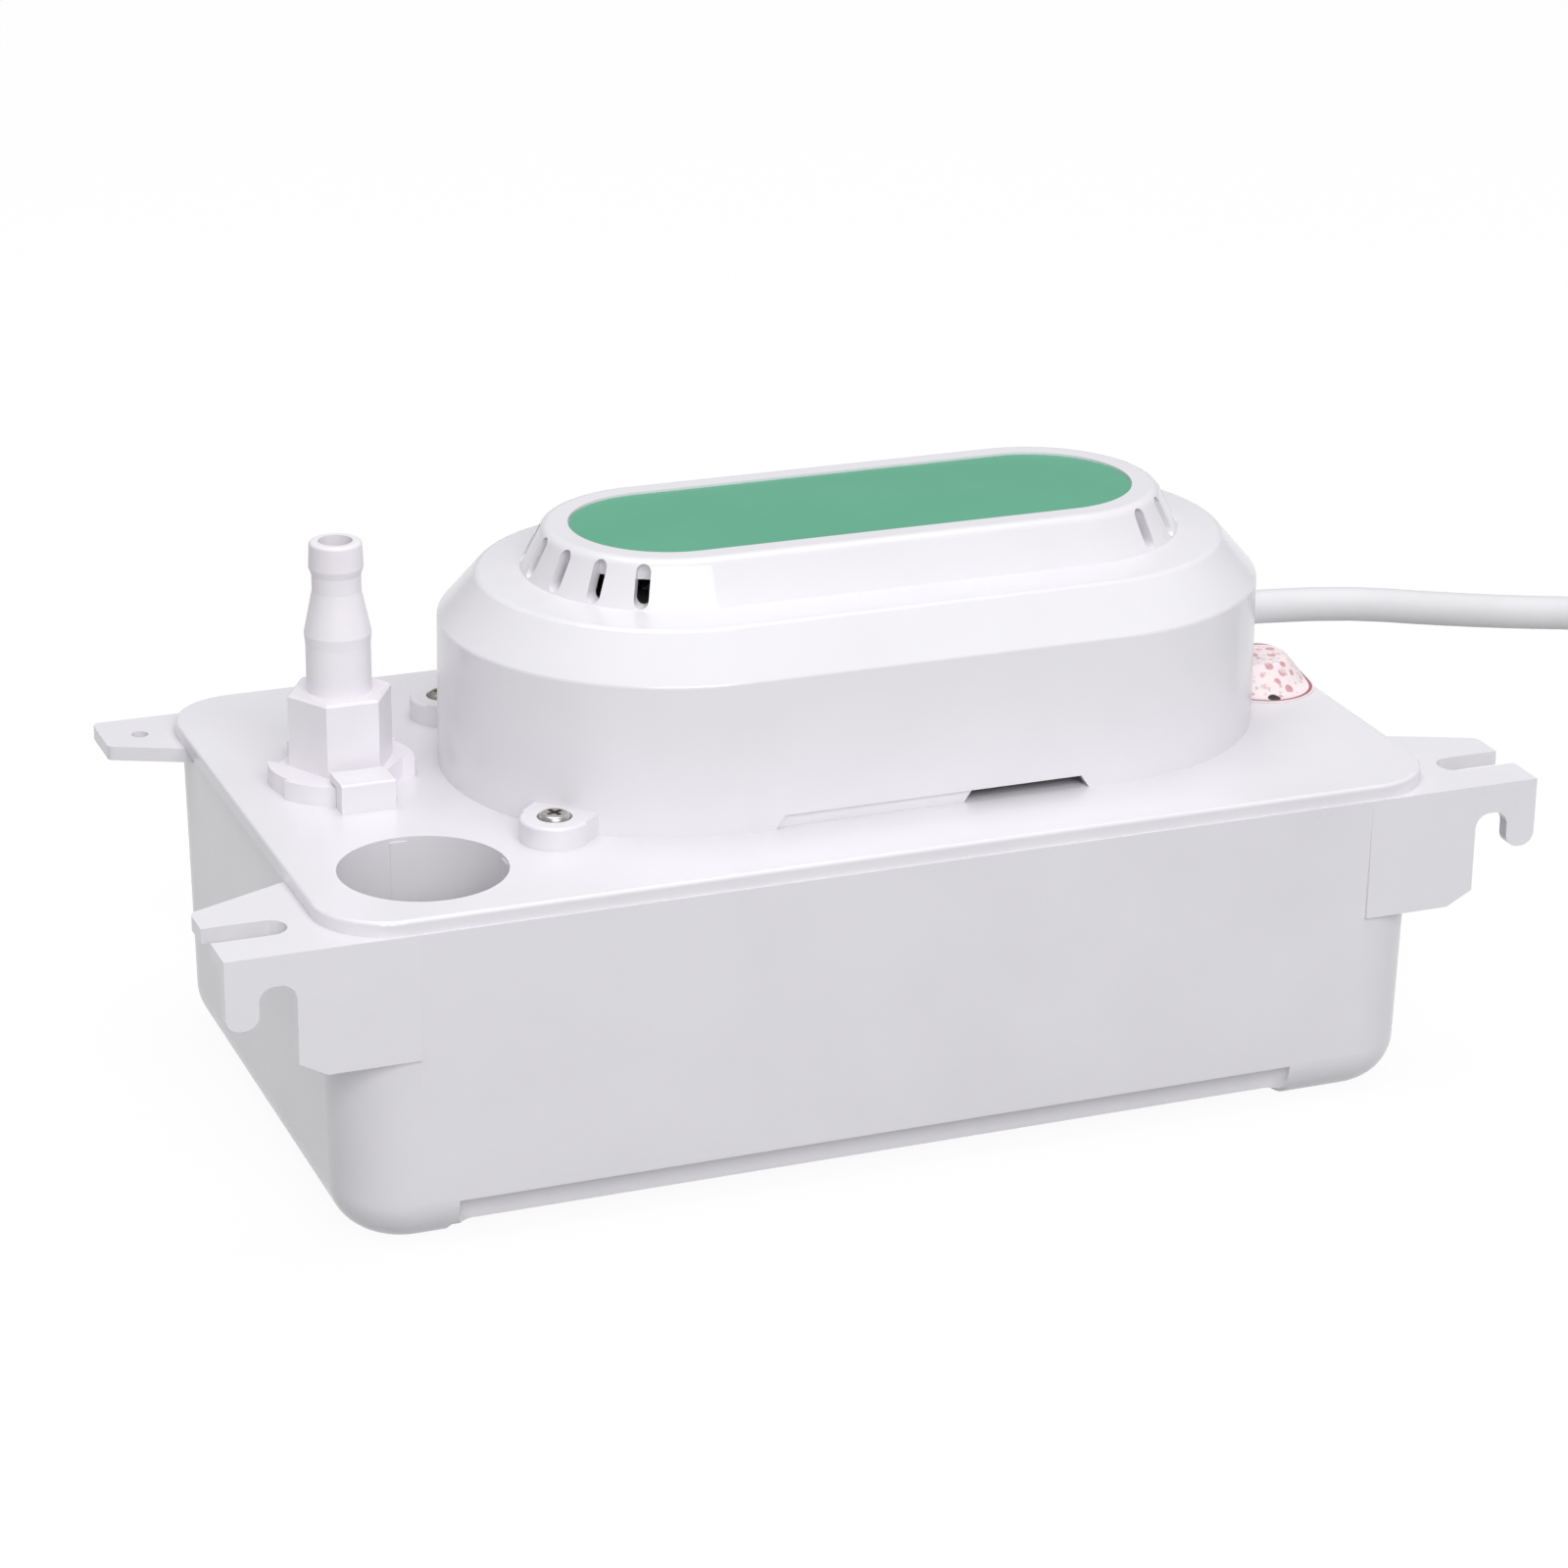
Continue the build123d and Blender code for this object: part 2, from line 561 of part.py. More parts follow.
# ---- motor cover ------------------------------------------------------------
def cover_form(inset, drop):
    """The stack of slopes that makes the cover, inset and lowered for its inside."""
    levels = [
        (COVER_RADIUS - inset, LID_Z),
        (COVER_RADIUS - COVER_WALL_DRAFT - inset, LID_Z + COVER_WALL_HEIGHT - drop * 0.4),
        (SHOULDER_RADIUS - inset * 0.8, LID_Z + SHOULDER_HEIGHT - drop * 0.8),
        (LEDGE_RADIUS - inset, LID_Z + LEDGE_HEIGHT - drop * 0.8),
        (CROWN_RADIUS - inset, LID_Z + CROWN_HEIGHT - drop),
    ]
    form = None
    for (low_radius, low_z), (high_radius, high_z) in zip(levels, levels[1:]):
        step = loft([Pos(0, 0, low_z) * obround(low_radius),
                     Pos(0, 0, high_z) * obround(high_radius)], ruled=True)
        form = step if form is None else form + step
    return form


def vent_cutters():
    """Upright keyhole slots through the steep slope at both round ends."""
    middle_radius = (LEDGE_RADIUS + CROWN_RADIUS) / 2
    low_z = LID_Z + LEDGE_HEIGHT + 0.2
    profile = SlotOverall(VENT_LENGTH, VENT_WIDTH)
    tool = Pos(middle_radius, 0, low_z + VENT_LENGTH / 2) * extrude(
        Plane.YZ * Rot(0, 0, 90) * profile, amount=COVER_WALL * 1.5, both=True)
    cutters = []
    half_fan = (VENTS_PER_END - 1) / 2
    for end in (-1, 1):
        centre = COVER_X + end * COVER_STRAIGHT / 2
        heading = 0 if end == 1 else 180
        for number in range(VENTS_PER_END):
            turn = heading + (number - half_fan) * VENT_STEP
            cutters.append(Pos(centre, MOTOR_Y) * Rot(0, 0, turn) * tool)
    return cutters


def make_cover():
    cover = cover_form(0, 0)
    cover = fillet(edges_at(cover, LID_Z + CROWN_HEIGHT), CROWN_ROUND)
    cover = fillet(edges_at(cover, LID_Z + COVER_WALL_HEIGHT), 0.8)
    cover = fillet(edges_at(cover, LID_Z + SHOULDER_HEIGHT), 1.5)
    cover -= slab(obround(LABEL_RADIUS), LID_Z + CROWN_HEIGHT - LABEL_RECESS,
                  LID_Z + CROWN_HEIGHT)

    for x, y in lug_places():
        end_x = COVER_X - COVER_STRAIGHT / 2 if x < COVER_X else COVER_X + COVER_STRAIGHT / 2
        lug = rod(LUG_RADIUS, LID_Z, LID_Z + LUG_HEIGHT, x, y)
        lug = fillet(lug.edges().group_by(Axis.Z)[-1], 0.6)
        reach = hypot(x - end_x, y - MOTOR_Y)
        turn = degrees(atan2(y - MOTOR_Y, x - end_x))
        root = Pos(COVER_RADIUS - 4, 0, LID_Z) * Box(
            reach - COVER_RADIUS + 4, 2 * LUG_RADIUS, LUG_HEIGHT,
            align=(Align.MIN, Align.CENTER, Align.MIN))
        cover += lug + Pos(end_x, MOTOR_Y) * Rot(0, 0, turn) * root

    cover -= cover_form(COVER_WALL, COVER_WALL)
    for x, y in lug_places():
        cover -= rod(COVER_SCREW_RADIUS + LOOSE, LID_Z, LID_Z + LUG_HEIGHT, x, y)
        cover -= rod(COVER_SCREW_HEAD + LOOSE, LID_Z + LUG_HEIGHT - screw_sink(),
                     LID_Z + LUG_HEIGHT, x, y)
    cover -= vent_cutters()
    cover -= cover_slot(SLOT_LEFT_X, SLOT_RECESS)
    cover -= cover_slot(SLOT_OPEN_X, COVER_WALL + 2)
    return cover - gland_hole(LOOSE)


def screw_sink():
    """How deep the cover screws' heads sit in the lugs."""
    return COVER_SCREW_HEAD_HEIGHT * 0.6


def cover_slot(left, depth):
    """The low slot along the cover's front bottom edge, cut to one depth."""
    outline = Polyline(
        (left, LID_Z), (SLOT_RIGHT_X, LID_Z),
        (SLOT_RIGHT_X - SLOT_SLOPE, LID_Z + SLOT_HEIGHT),
        (left + SLOT_SLOPE, LID_Z + SLOT_HEIGHT), close=True)
    front = MOTOR_Y - COVER_RADIUS
    upright = Plane(origin=(0, front, 0), x_dir=(1, 0, 0), z_dir=(0, -1, 0))
    face = upright * make_face(outline)
    return extrude(face, amount=-depth) + extrude(face, amount=1)


def gland_x():
    """Where the cord's axis meets the outside of the cover's right end."""
    side = CORD_Y - MOTOR_Y
    return COVER_X + COVER_STRAIGHT / 2 + (COVER_RADIUS ** 2 - side ** 2) ** 0.5


def gland_hole(clearance):
    """A U-shaped mouth in the cover's edge that drops over the gland's neck."""
    z = LID_Z + CORD_HEIGHT
    radius = GLAND_NECK_RADIUS + clearance
    mouth = long_rod(radius, gland_x() - 12, gland_x() + 6, CORD_Y, z)
    return mouth + block(gland_x() - 12, gland_x() + 6, CORD_Y - radius, CORD_Y + radius,
                         LID_Z, z)


def make_label():
    low = LID_Z + CROWN_HEIGHT - LABEL_RECESS
    return slab(obround(LABEL_RADIUS - 0.2), low, low + LABEL_SHEET)


def make_seal():
    """A round paper seal draped over the right lug, down to the lid all round it."""
    x, y = lug_places()[2]
    high = LID_Z + LUG_HEIGHT + COVER_SCREW_HEAD_HEIGHT - screw_sink() + 0.1
    low = LID_Z + 0.05
    edge = LUG_RADIUS + SEAL_CLEAR
    foot = edge + SEAL_SLOPE_RUN
    far = SEAL_RADIUS * 2.4
    outline = Polyline(
        (0, high), (edge, high), (foot, low), (far, low), (far, low + SEAL_SHEET),
        (foot, low + SEAL_SHEET), (edge, high + SEAL_SHEET), (0, high + SEAL_SHEET), close=True)
    face = make_face(outline)
    face = fillet(face.vertices().filter_by_position(Axis.X, edge - 0.1, foot + 0.1), SEAL_BEND)
    sheet = Pos(x, y) * revolve(Plane.XZ * face, axis=Axis.Z)
    cutter = rod(SEAL_RADIUS, LID_Z, high + 2, x + SEAL_OFFSET_X, y + SEAL_OFFSET_Y)
    return (sheet & cutter) - slab(obround(COVER_RADIUS + LOOSE), LID_Z, high + 2)


def make_cover_screws():
    screw = pan_head_screw(COVER_SCREW_RADIUS, COVER_SCREW_HEAD,
                           COVER_SCREW_HEAD_HEIGHT, COVER_SCREW_LENGTH - 1)
    seat = LID_Z + LUG_HEIGHT - screw_sink()
    turns = (20, 65, 0)
    places = lug_places()
    return [Pos(x, y, seat) * Rot(0, 0, turn) * screw for (x, y), turn in zip(places, turns)]


# ---- motor ------------------------------------------------------------------
def make_stator():
    """C-frame laminations: two poles round the rotor, two arms and a core."""
    left = -STACK_FRONT
    right = STACK_LENGTH - STACK_FRONT
    half = STACK_WIDTH / 2
    frame = Pos((left + right) / 2, 0) * RectangleRounded(STACK_LENGTH, STACK_WIDTH, 3)
    window_left = ROTOR_RADIUS + 5
    window_right = right - CORE_WIDTH
    window = Pos((window_left + window_right) / 2, 0) * Rectangle(
        window_right - window_left, STACK_WIDTH - 2 * STACK_ARM)
    frame -= window
    frame -= Circle(ROTOR_RADIUS + ROTOR_GAP)
    frame -= Pos(left, 0) * Rectangle(2 * (STACK_FRONT - ROTOR_RADIUS) + 2, 2.4)
    frame -= Pos(window_left, 0) * Rectangle(12, 2.4)
    for side in (-1, 1):
        frame -= Pos(0, side * MOTOR_SCREW_Y) * Circle(MOTOR_SCREW_RADIUS + LOOSE)
        for slot in shading_slots(side):
            frame -= slot
    stack = slab(frame, STACK_BOTTOM_Z, STACK_TOP_Z)
    groove = 0.3
    for level in range(1, 6):
        z = STACK_BOTTOM_Z + STACK_THICKNESS * level / 6
        outline = Pos((left + right) / 2, 0) * Rectangle(STACK_LENGTH + 1, STACK_WIDTH + 1)
        outline -= Pos((left + right) / 2, 0) * RectangleRounded(
            STACK_LENGTH - 2 * groove, STACK_WIDTH - 2 * groove, 3 - groove)
        stack -= slab(outline, z - groove / 2, z + groove / 2)
    return Pos(MOTOR_X, MOTOR_Y) * stack


def shading_slots(side):
    """The hole in a pole that the shading ring is threaded through."""
    hole = SHADING_WIRE + 0.4
    turn = SHADING_TURN if side > 0 else SHADING_TURN - 180
    return [Rot(0, 0, turn) * Pos(shading_radius(), 0) * Rectangle(hole, hole)]


def shading_radius():
    """Middle of a shading ring's inner leg, from the rotor's axis."""
    return ROTOR_RADIUS + ROTOR_GAP + 1.6 + SHADING_WIRE / 2 + 0.2


def make_shading_rings():
    """A closed copper loop round part of each pole."""
    half = SHADING_WIRE / 2
    low = STACK_BOTTOM_Z - SHADING_WIRE - 0.1
    high = STACK_TOP_Z + SHADING_WIRE + 0.1
    inner = shading_radius() - half
    outer = STACK_WIDTH / 2 / sin(radians(SHADING_TURN)) + SHADING_WIRE
    loop = block(inner, outer + SHADING_WIRE, -half, half, low, high)
    loop -= block(inner + SHADING_WIRE, outer, -half, half,
                  low + SHADING_WIRE, high - SHADING_WIRE)
    place = Pos(MOTOR_X, MOTOR_Y)
    return [place * Rot(0, 0, turn) * loop for turn in (SHADING_TURN, SHADING_TURN - 180)]


def winding_x():
    """Middle of the core bar that carries the winding."""
    return MOTOR_X + STACK_LENGTH - STACK_FRONT - CORE_WIDTH / 2


def coil_shape(outset, length):
    """A rounded sleeve round the core bar, lying front to back."""
    width = CORE_WIDTH + 2 * outset
    height = STACK_THICKNESS + 2 * outset
    section = RectangleRounded(width, height, max(outset * 0.6, 0.5))
    middle = Plane(origin=(winding_x(), MOTOR_Y, LID_Z + STACK_CENTRE_HEIGHT),
                   x_dir=(1, 0, 0), z_dir=(0, -1, 0))
    return extrude(middle * section, amount=length / 2, both=True)


def make_bobbin():
    """The nylon spool: a thin sleeve with a cheek at each end."""
    spool = coil_shape(LOOSE + BOBBIN_WALL, BOBBIN_LENGTH)
    full = LOOSE + BOBBIN_WALL + WINDING_THICKNESS
    cheeks = coil_shape(full, BOBBIN_LENGTH)
    cheeks -= coil_shape(full + 1, BOBBIN_LENGTH - 2 * BOBBIN_WALL)
    spool += cheeks
    hole_width = CORE_WIDTH + 2 * RUNNING
    hole_height = STACK_THICKNESS + 2 * RUNNING
    hole = Pos(winding_x(), MOTOR_Y, LID_Z + STACK_CENTRE_HEIGHT) * Box(
        hole_width, BOBBIN_LENGTH + 1, hole_height)
    return spool - hole


def make_winding():
    length = BOBBIN_LENGTH - 2 * BOBBIN_WALL
    full = LOOSE + BOBBIN_WALL + WINDING_THICKNESS - 0.5
    return coil_shape(full, length) - coil_shape(LOOSE + BOBBIN_WALL, length + 1)


def make_bearing_bracket(top):
    """A pressed steel strap across the stack that carries one shaft bearing."""
    foot = MOTOR_SCREW_Y + 3.8
    knee = MOTOR_SCREW_Y - 5.6
    crown = knee - BRACKET_RISE * 0.7
    sheet = BRACKET_SHEET
    rise = BRACKET_RISE
    lean = sheet * 0.45
    outline = Polyline(
        (-foot, 0), (-knee, 0), (-crown, rise - sheet), (crown, rise - sheet),
        (knee, 0), (foot, 0), (foot, sheet), (knee + lean, sheet),
        (crown + lean, rise), (-crown - lean, rise), (-knee - lean, sheet),
        (-foot, sheet), close=True)
    strap = extrude(Plane.YZ * make_face(outline), amount=BRACKET_WIDTH / 2, both=True)
    strap -= rod(BEARING_RADIUS, 0, rise + 1)
    for side in (-1, 1):
        strap -= rod(MOTOR_SCREW_RADIUS + 0.2, -1, sheet + 1, 0, side * MOTOR_SCREW_Y)
    if top:
        return Pos(MOTOR_X, MOTOR_Y, STACK_TOP_Z) * strap
    return Pos(MOTOR_X, MOTOR_Y, STACK_BOTTOM_Z) * Rot(180, 0, 0) * strap


def make_bearings():
    """Sintered sleeve bearings in the two straps."""
    reach = BRACKET_RISE - BRACKET_SHEET / 2
    sleeves = []
    for middle in (STACK_BOTTOM_Z - reach, STACK_TOP_Z + reach):
        low = middle - BEARING_LENGTH / 2
        sleeves.append(ring(BEARING_RADIUS, SHAFT_RADIUS + RUNNING, low,
                            low + BEARING_LENGTH, MOTOR_X, MOTOR_Y))
    return sleeves


def make_motor_screws():
    head = STACK_TOP_Z + BRACKET_SHEET
    length = head - LID_Z - 3
    screw = pan_head_screw(MOTOR_SCREW_RADIUS, 3.4, 2.2, length)
    return [Pos(MOTOR_X, MOTOR_Y + side * MOTOR_SCREW_Y, head) * screw for side in (-1, 1)]


def make_rotor():
    """Squirrel-cage rotor: a plain core with a raised ring at each end."""
    core = rod(ROTOR_RADIUS, STACK_BOTTOM_Z, STACK_TOP_Z)
    core = chamfer(core.edges().group_by(Axis.Z)[0] + core.edges().group_by(Axis.Z)[-1], 0.6)
    core += ring(ROTOR_RADIUS - 2, ROTOR_RADIUS - 5, STACK_TOP_Z, STACK_TOP_Z + 1.2)
    return Pos(MOTOR_X, MOTOR_Y) * (core - rod(SHAFT_RADIUS, STACK_BOTTOM_Z, STACK_TOP_Z))


def make_shaft():
    shaft = rod(SHAFT_RADIUS, impeller_low(), LID_Z + SHAFT_TOP_HEIGHT)
    shaft = chamfer(shaft.edges().group_by(Axis.Z)[-1], 0.4)
    return Pos(MOTOR_X, MOTOR_Y) * shaft


def make_fan():
    """Axial cooling fan with pitched blades on the shaft's upper end."""
    high = LID_Z + SHAFT_TOP_HEIGHT
    low = high - FAN_HEIGHT
    fan = ring(FAN_HUB_RADIUS, SHAFT_RADIUS, low, high)
    blade = Pos((FAN_HUB_RADIUS + FAN_RADIUS) / 2, 0, (low + high) / 2) * Rot(28, 0, 0) * Box(
        FAN_RADIUS - FAN_HUB_RADIUS + 1, 7.0, 0.9)
    limits = ring(FAN_RADIUS, FAN_HUB_RADIUS - 0.5, low, high)
    blade = blade & limits
    for number in range(FAN_BLADES):
        fan += Rot(0, 0, 360 * number / FAN_BLADES) * blade
    return Pos(MOTOR_X, MOTOR_Y) * fan


# ---- pump -------------------------------------------------------------------
def impeller_low():
    return CHAMBER_BOTTOM_Z + (CHAMBER_HEIGHT - IMPELLER_HEIGHT) / 2


def spigot_heading():
    """Direction, in degrees, of the tangent from the chamber to the riser."""
    run_x = OUTLET_X - MOTOR_X
    run_y = OUTLET_Y - MOTOR_Y
    offset = CHAMBER_RADIUS - SPIGOT_BORE
    return degrees(atan2(run_y, run_x)) + degrees(asin(offset / hypot(run_x, run_y)))


def spigot_start():
    """Where the tangent leaves the chamber."""
    offset = CHAMBER_RADIUS - SPIGOT_BORE
    side = radians(spigot_heading() - 90)
    return MOTOR_X + offset * cos(side), MOTOR_Y + offset * sin(side)


def along_spigot(distance):
    x, y = spigot_start()
    heading = radians(spigot_heading())
    return x + distance * cos(heading), y + distance * sin(heading)


def spigot_rod(radius, start, length):
    x, y = along_spigot(start)
    return Pos(x, y, SPIGOT_Z) * Rot(0, 0, spigot_heading()) * Rot(0, 90, 0) * Cylinder(
        radius, length, align=BASE)


def spigot_root():
    """Distance along the tangent at which the spigot leaves the volute's wall."""
    offset = CHAMBER_RADIUS - SPIGOT_BORE
    return ((CHAMBER_RADIUS + VOLUTE_WALL) ** 2 - offset ** 2) ** 0.5 + 1


def volute_ears(z_low, z_high):
    ears = None
    for number in range(3):
        turn = radians(VOLUTE_SCREW_TURN + 120 * number)
        x = VOLUTE_SCREW_RING * cos(turn)
        y = VOLUTE_SCREW_RING * sin(turn)
        ear = rod(3.0, z_low, z_high, x, y)
        ears = ear if ears is None else ears + ear
    return ears


def volute_screw_places():
    turns = [radians(VOLUTE_SCREW_TURN + 120 * number) for number in range(3)]
    return [(MOTOR_X + VOLUTE_SCREW_RING * cos(turn), MOTOR_Y + VOLUTE_SCREW_RING * sin(turn))
            for turn in turns]


def make_column():
    """The tube that hangs the pump from the lid, with weep holes in its side."""
    inner = COLUMN_RADIUS - COLUMN_WALL
    column = ring(COLUMN_RADIUS, inner, VOLUTE_TOP_Z, RIM_Z - COLUMN_FLANGE)
    column += ring(COLUMN_FLANGE_RADIUS, inner, RIM_Z - COLUMN_FLANGE, RIM_Z)
    for turn in (0, 90, 180, 270):
        web = block(COLUMN_RADIUS - 0.5, COLUMN_FLANGE_RADIUS - 1, -0.8, 0.8,
                    RIM_Z - 10, RIM_Z - COLUMN_FLANGE)
        web = chamfer(web.edges().filter_by(Axis.Y).group_by(Axis.Z)[0].sort_by(Axis.X)[-1:], 5)
        column += Rot(0, 0, turn) * web
    column -= cross_rod(1.6, -COLUMN_RADIUS - 1, COLUMN_RADIUS + 1, 0, VOLUTE_TOP_Z + 16)
    return Pos(MOTOR_X, MOTOR_Y) * column


def make_volute():
    outer = CHAMBER_RADIUS + VOLUTE_WALL
    body = rod(outer, CHAMBER_BOTTOM_Z, VOLUTE_TOP_Z)
    body = fillet(body.edges().group_by(Axis.Z)[-1], 1.2)
    body += volute_ears(CHAMBER_BOTTOM_Z, CHAMBER_TOP_Z)
    collar_outer = COLUMN_RADIUS + RUNNING + 1.6
    body += ring(collar_outer, COLUMN_RADIUS + RUNNING, VOLUTE_TOP_Z - 0.01, VOLUTE_TOP_Z + 5)
    body = Pos(MOTOR_X, MOTOR_Y) * body
    body += spigot_rod(SPIGOT_RADIUS, 0, spigot_root() + SPIGOT_LENGTH)
    body -= rod(CHAMBER_RADIUS, CHAMBER_BOTTOM_Z, CHAMBER_TOP_Z, MOTOR_X, MOTOR_Y)
    body -= rod(SHAFT_RADIUS + LOOSE, CHAMBER_TOP_Z, VOLUTE_TOP_Z + 1, MOTOR_X, MOTOR_Y)
    body -= spigot_rod(SPIGOT_BORE, 0, spigot_root() + SPIGOT_LENGTH)
    for x, y in volute_screw_places():
        body -= rod(SMALL_SCREW_RADIUS, CHAMBER_BOTTOM_Z, CHAMBER_TOP_Z - 1.5, x, y)
    return body


def make_suction_cover():
    """The pump's floor: a plate with the eye and ribbed feet that strain the water."""
    outer = CHAMBER_RADIUS + VOLUTE_WALL
    plate = rod(outer, SUCTION_BOTTOM_Z, CHAMBER_BOTTOM_Z)
    plate += volute_ears(SUCTION_BOTTOM_Z, CHAMBER_BOTTOM_Z)
    plate -= rod(SUCTION_RADIUS, SUCTION_BOTTOM_Z, CHAMBER_BOTTOM_Z)
    feet_ring = ring(outer - 3, outer - 5.5, SUCTION_BOTTOM_Z - SUCTION_FOOT, SUCTION_BOTTOM_Z)
    for number in range(6):
        feet_ring -= Rot(0, 0, 60 * number) * block(
            0, outer, -3, 3, SUCTION_BOTTOM_Z - SUCTION_FOOT, SUCTION_BOTTOM_Z)
    cover = Pos(MOTOR_X, MOTOR_Y) * (plate + feet_ring)
    for x, y in volute_screw_places():
        cover -= rod(SMALL_SCREW_RADIUS + 0.2, SUCTION_BOTTOM_Z, CHAMBER_BOTTOM_Z, x, y)
    return cover


def make_volute_screws():
    screw = Rot(180, 0, 0) * pan_head_screw(
        SMALL_SCREW_RADIUS, SMALL_SCREW_HEAD, SMALL_SCREW_HEAD_HEIGHT,
        SUCTION_PLATE + CHAMBER_HEIGHT - 2.5)
    return [Pos(x, y, SUCTION_BOTTOM_Z) * screw for x, y in volute_screw_places()]


def make_impeller():
    """Open impeller: a disc above backward-curved vanes round the eye."""
    low = impeller_low()
    high = low + IMPELLER_HEIGHT
    wheel = rod(IMPELLER_RADIUS, high - IMPELLER_DISC, high)
    wheel += rod(IMPELLER_HUB_RADIUS, low + 1.5, high)
    start = IMPELLER_HUB_RADIUS - 0.6
    end = IMPELLER_RADIUS - 0.4
    middle = (start + end) / 2
    sweep_back = 55
    path = ThreePointArc(
        (start, 0),
        (middle * cos(radians(sweep_back * 0.32)), -middle * sin(radians(sweep_back * 0.32))),
        (end * cos(radians(sweep_back)), -end * sin(radians(sweep_back))))
    vane = slab(trace(path, VANE_THICKNESS), low, high - IMPELLER_DISC / 2)
    for number in range(IMPELLER_VANES):
        wheel += Rot(0, 0, 360 * number / IMPELLER_VANES) * vane
    wheel -= rod(SHAFT_RADIUS, low, high)
    return Pos(MOTOR_X, MOTOR_Y) * wheel


def make_riser_hose():
    """Soft hose from the pump's spigot to the nipple under the outlet."""
    x, y = along_spigot(spigot_root() + HOSE_SETBACK)
    top = outlet_nipple_low() + NIPPLE_DROP - 3
    path = FilletPolyline((x, y, SPIGOT_Z), (OUTLET_X, OUTLET_Y, SPIGOT_Z),
                          (OUTLET_X, OUTLET_Y, top), radius=HOSE_BEND)
    start = Plane(origin=path @ 0, z_dir=path % 0)
    bore = SPIGOT_RADIUS + RUNNING
    section = start * (Circle(bore + HOSE_WALL) - Circle(bore))
    return sweep(section, path=path)


# ---- outlet check valve -----------------------------------------------------
def socket_floor_z():
    return LID_Z - PLUG_DROP - LOOSE


def outlet_nipple_low():
    return socket_floor_z() - SOCKET_FLOOR - NIPPLE_DROP


def flange_outline():
    """Round flange with two wider lugs and two gaps that pass the claws."""
    outline = Circle(FLANGE_RADIUS)
    gap_half = CLAW_WIDTH / 2 + LOOSE
    gap_floor = FLANGE_LUG_RADIUS + LOOSE - CLAW_LIP_REACH - LOOSE
    for heading in (-90, 90):
        half = FLANGE_LUG_HALF_ANGLE
        wedge = make_face(Polyline(
            (0, 0),
            (40 * cos(radians(heading - half)), 40 * sin(radians(heading - half))),
            (40 * cos(radians(heading)), 40 * sin(radians(heading))),
            (40 * cos(radians(heading + half)), 40 * sin(radians(heading + half))),
            close=True))
        outline += Circle(FLANGE_LUG_RADIUS) & wedge
    for heading in (-90, 90):
        gap = Rot(0, 0, heading + RELEASE_ANGLE) * Pos(gap_floor + 20, 0) * Rectangle(
            40, 2 * gap_half)
        outline -= gap
    return outline


def oring_groove_floor():
    return PLUG_RADIUS + LOOSE - 2 * ORING_SECTION - RUNNING


def oring_z():
    return LID_Z - PLUG_DROP * 0.55


def make_valve_base():
    """Bayonet flange with the spigot that seals in the lid and holds the seat."""
    bottom = LID_Z - PLUG_DROP
    base = slab(flange_outline(), LID_Z, LID_Z + FLANGE_HEIGHT)
    base += rod(PLUG_RADIUS, bottom, LID_Z)
    base -= rod(CUP_RADIUS, bottom + SEAT_THICKNESS, LID_Z + FLANGE_HEIGHT)
    base -= rod(SEAT_BORE, bottom, bottom + SEAT_THICKNESS)
    half = ORING_SECTION + RUNNING
    base -= ring(PLUG_RADIUS + 1, oring_groove_floor(), oring_z() - half, oring_z() + half)
    return Pos(OUTLET_X, OUTLET_Y) * base


def make_outlet_barb():
    """Hexagonal body with the stepped hose tail, bored through."""
    h = LID_Z
    male_low = h - PLUG_DROP + SEAT_THICKNESS + LOOSE
    seat = h + FLANGE_HEIGHT
    hex_top = h + HEX_TOP_HEIGHT
    hexagon = RegularPolygon(HEX_FLATS / 2, 6, major_radius=False)
    body = slab(hexagon, seat, hex_top)
    body = chamfer(edges_at(body, hex_top), HEX_CHAMFER)
    tail = Polyline(
        (0, hex_top), (STEM_RADIUS, hex_top), (STEM_RADIUS, h + STEM_TOP_HEIGHT),
        (BULGE_RADIUS, h + BULGE_HEIGHT), (NECK_RADIUS, h + NECK_HEIGHT),
        (NECK_RADIUS, h + NECK_TOP_HEIGHT), (BARB_FLARE_RADIUS, h + BARB_FLARE_HEIGHT),
        (BARB_RADIUS, h + OUTLET_TOP_HEIGHT), (0, h + OUTLET_TOP_HEIGHT), close=True)
    body += revolve(Plane.XZ * make_face(tail), axis=Axis.Z)
    body = fillet(edges_at(body, h + OUTLET_TOP_HEIGHT), 0.7)
    body += rod(CUP_RADIUS - RUNNING, male_low, seat)
    body -= rod(VALVE_CHAMBER, male_low, h + VALVE_CHAMBER_TOP)
    body -= rod(OUTLET_BORE, h + VALVE_CHAMBER_TOP, h + OUTLET_TOP_HEIGHT)
    return Pos(OUTLET_X, OUTLET_Y) * body


def make_valve_oring():
    middle = PLUG_RADIUS + LOOSE - RUNNING - ORING_SECTION
    return Pos(OUTLET_X, OUTLET_Y, oring_z()) * Torus(middle, ORING_SECTION)


def poppet_low():
    return LID_Z - PLUG_DROP + SEAT_THICKNESS


def make_valve_poppet():
    """A disc on the seat with a short guide below it and a spring spud above."""
    low = poppet_low()
    disc = rod(POPPET_RADIUS, low, low + POPPET_HEIGHT)
    disc += rod(SEAT_BORE - 1.0, low - SEAT_THICKNESS - 1.5, low)
    disc += rod(1.9, low + POPPET_HEIGHT, low + POPPET_HEIGHT + 1.6)
    return Pos(OUTLET_X, OUTLET_Y) * disc


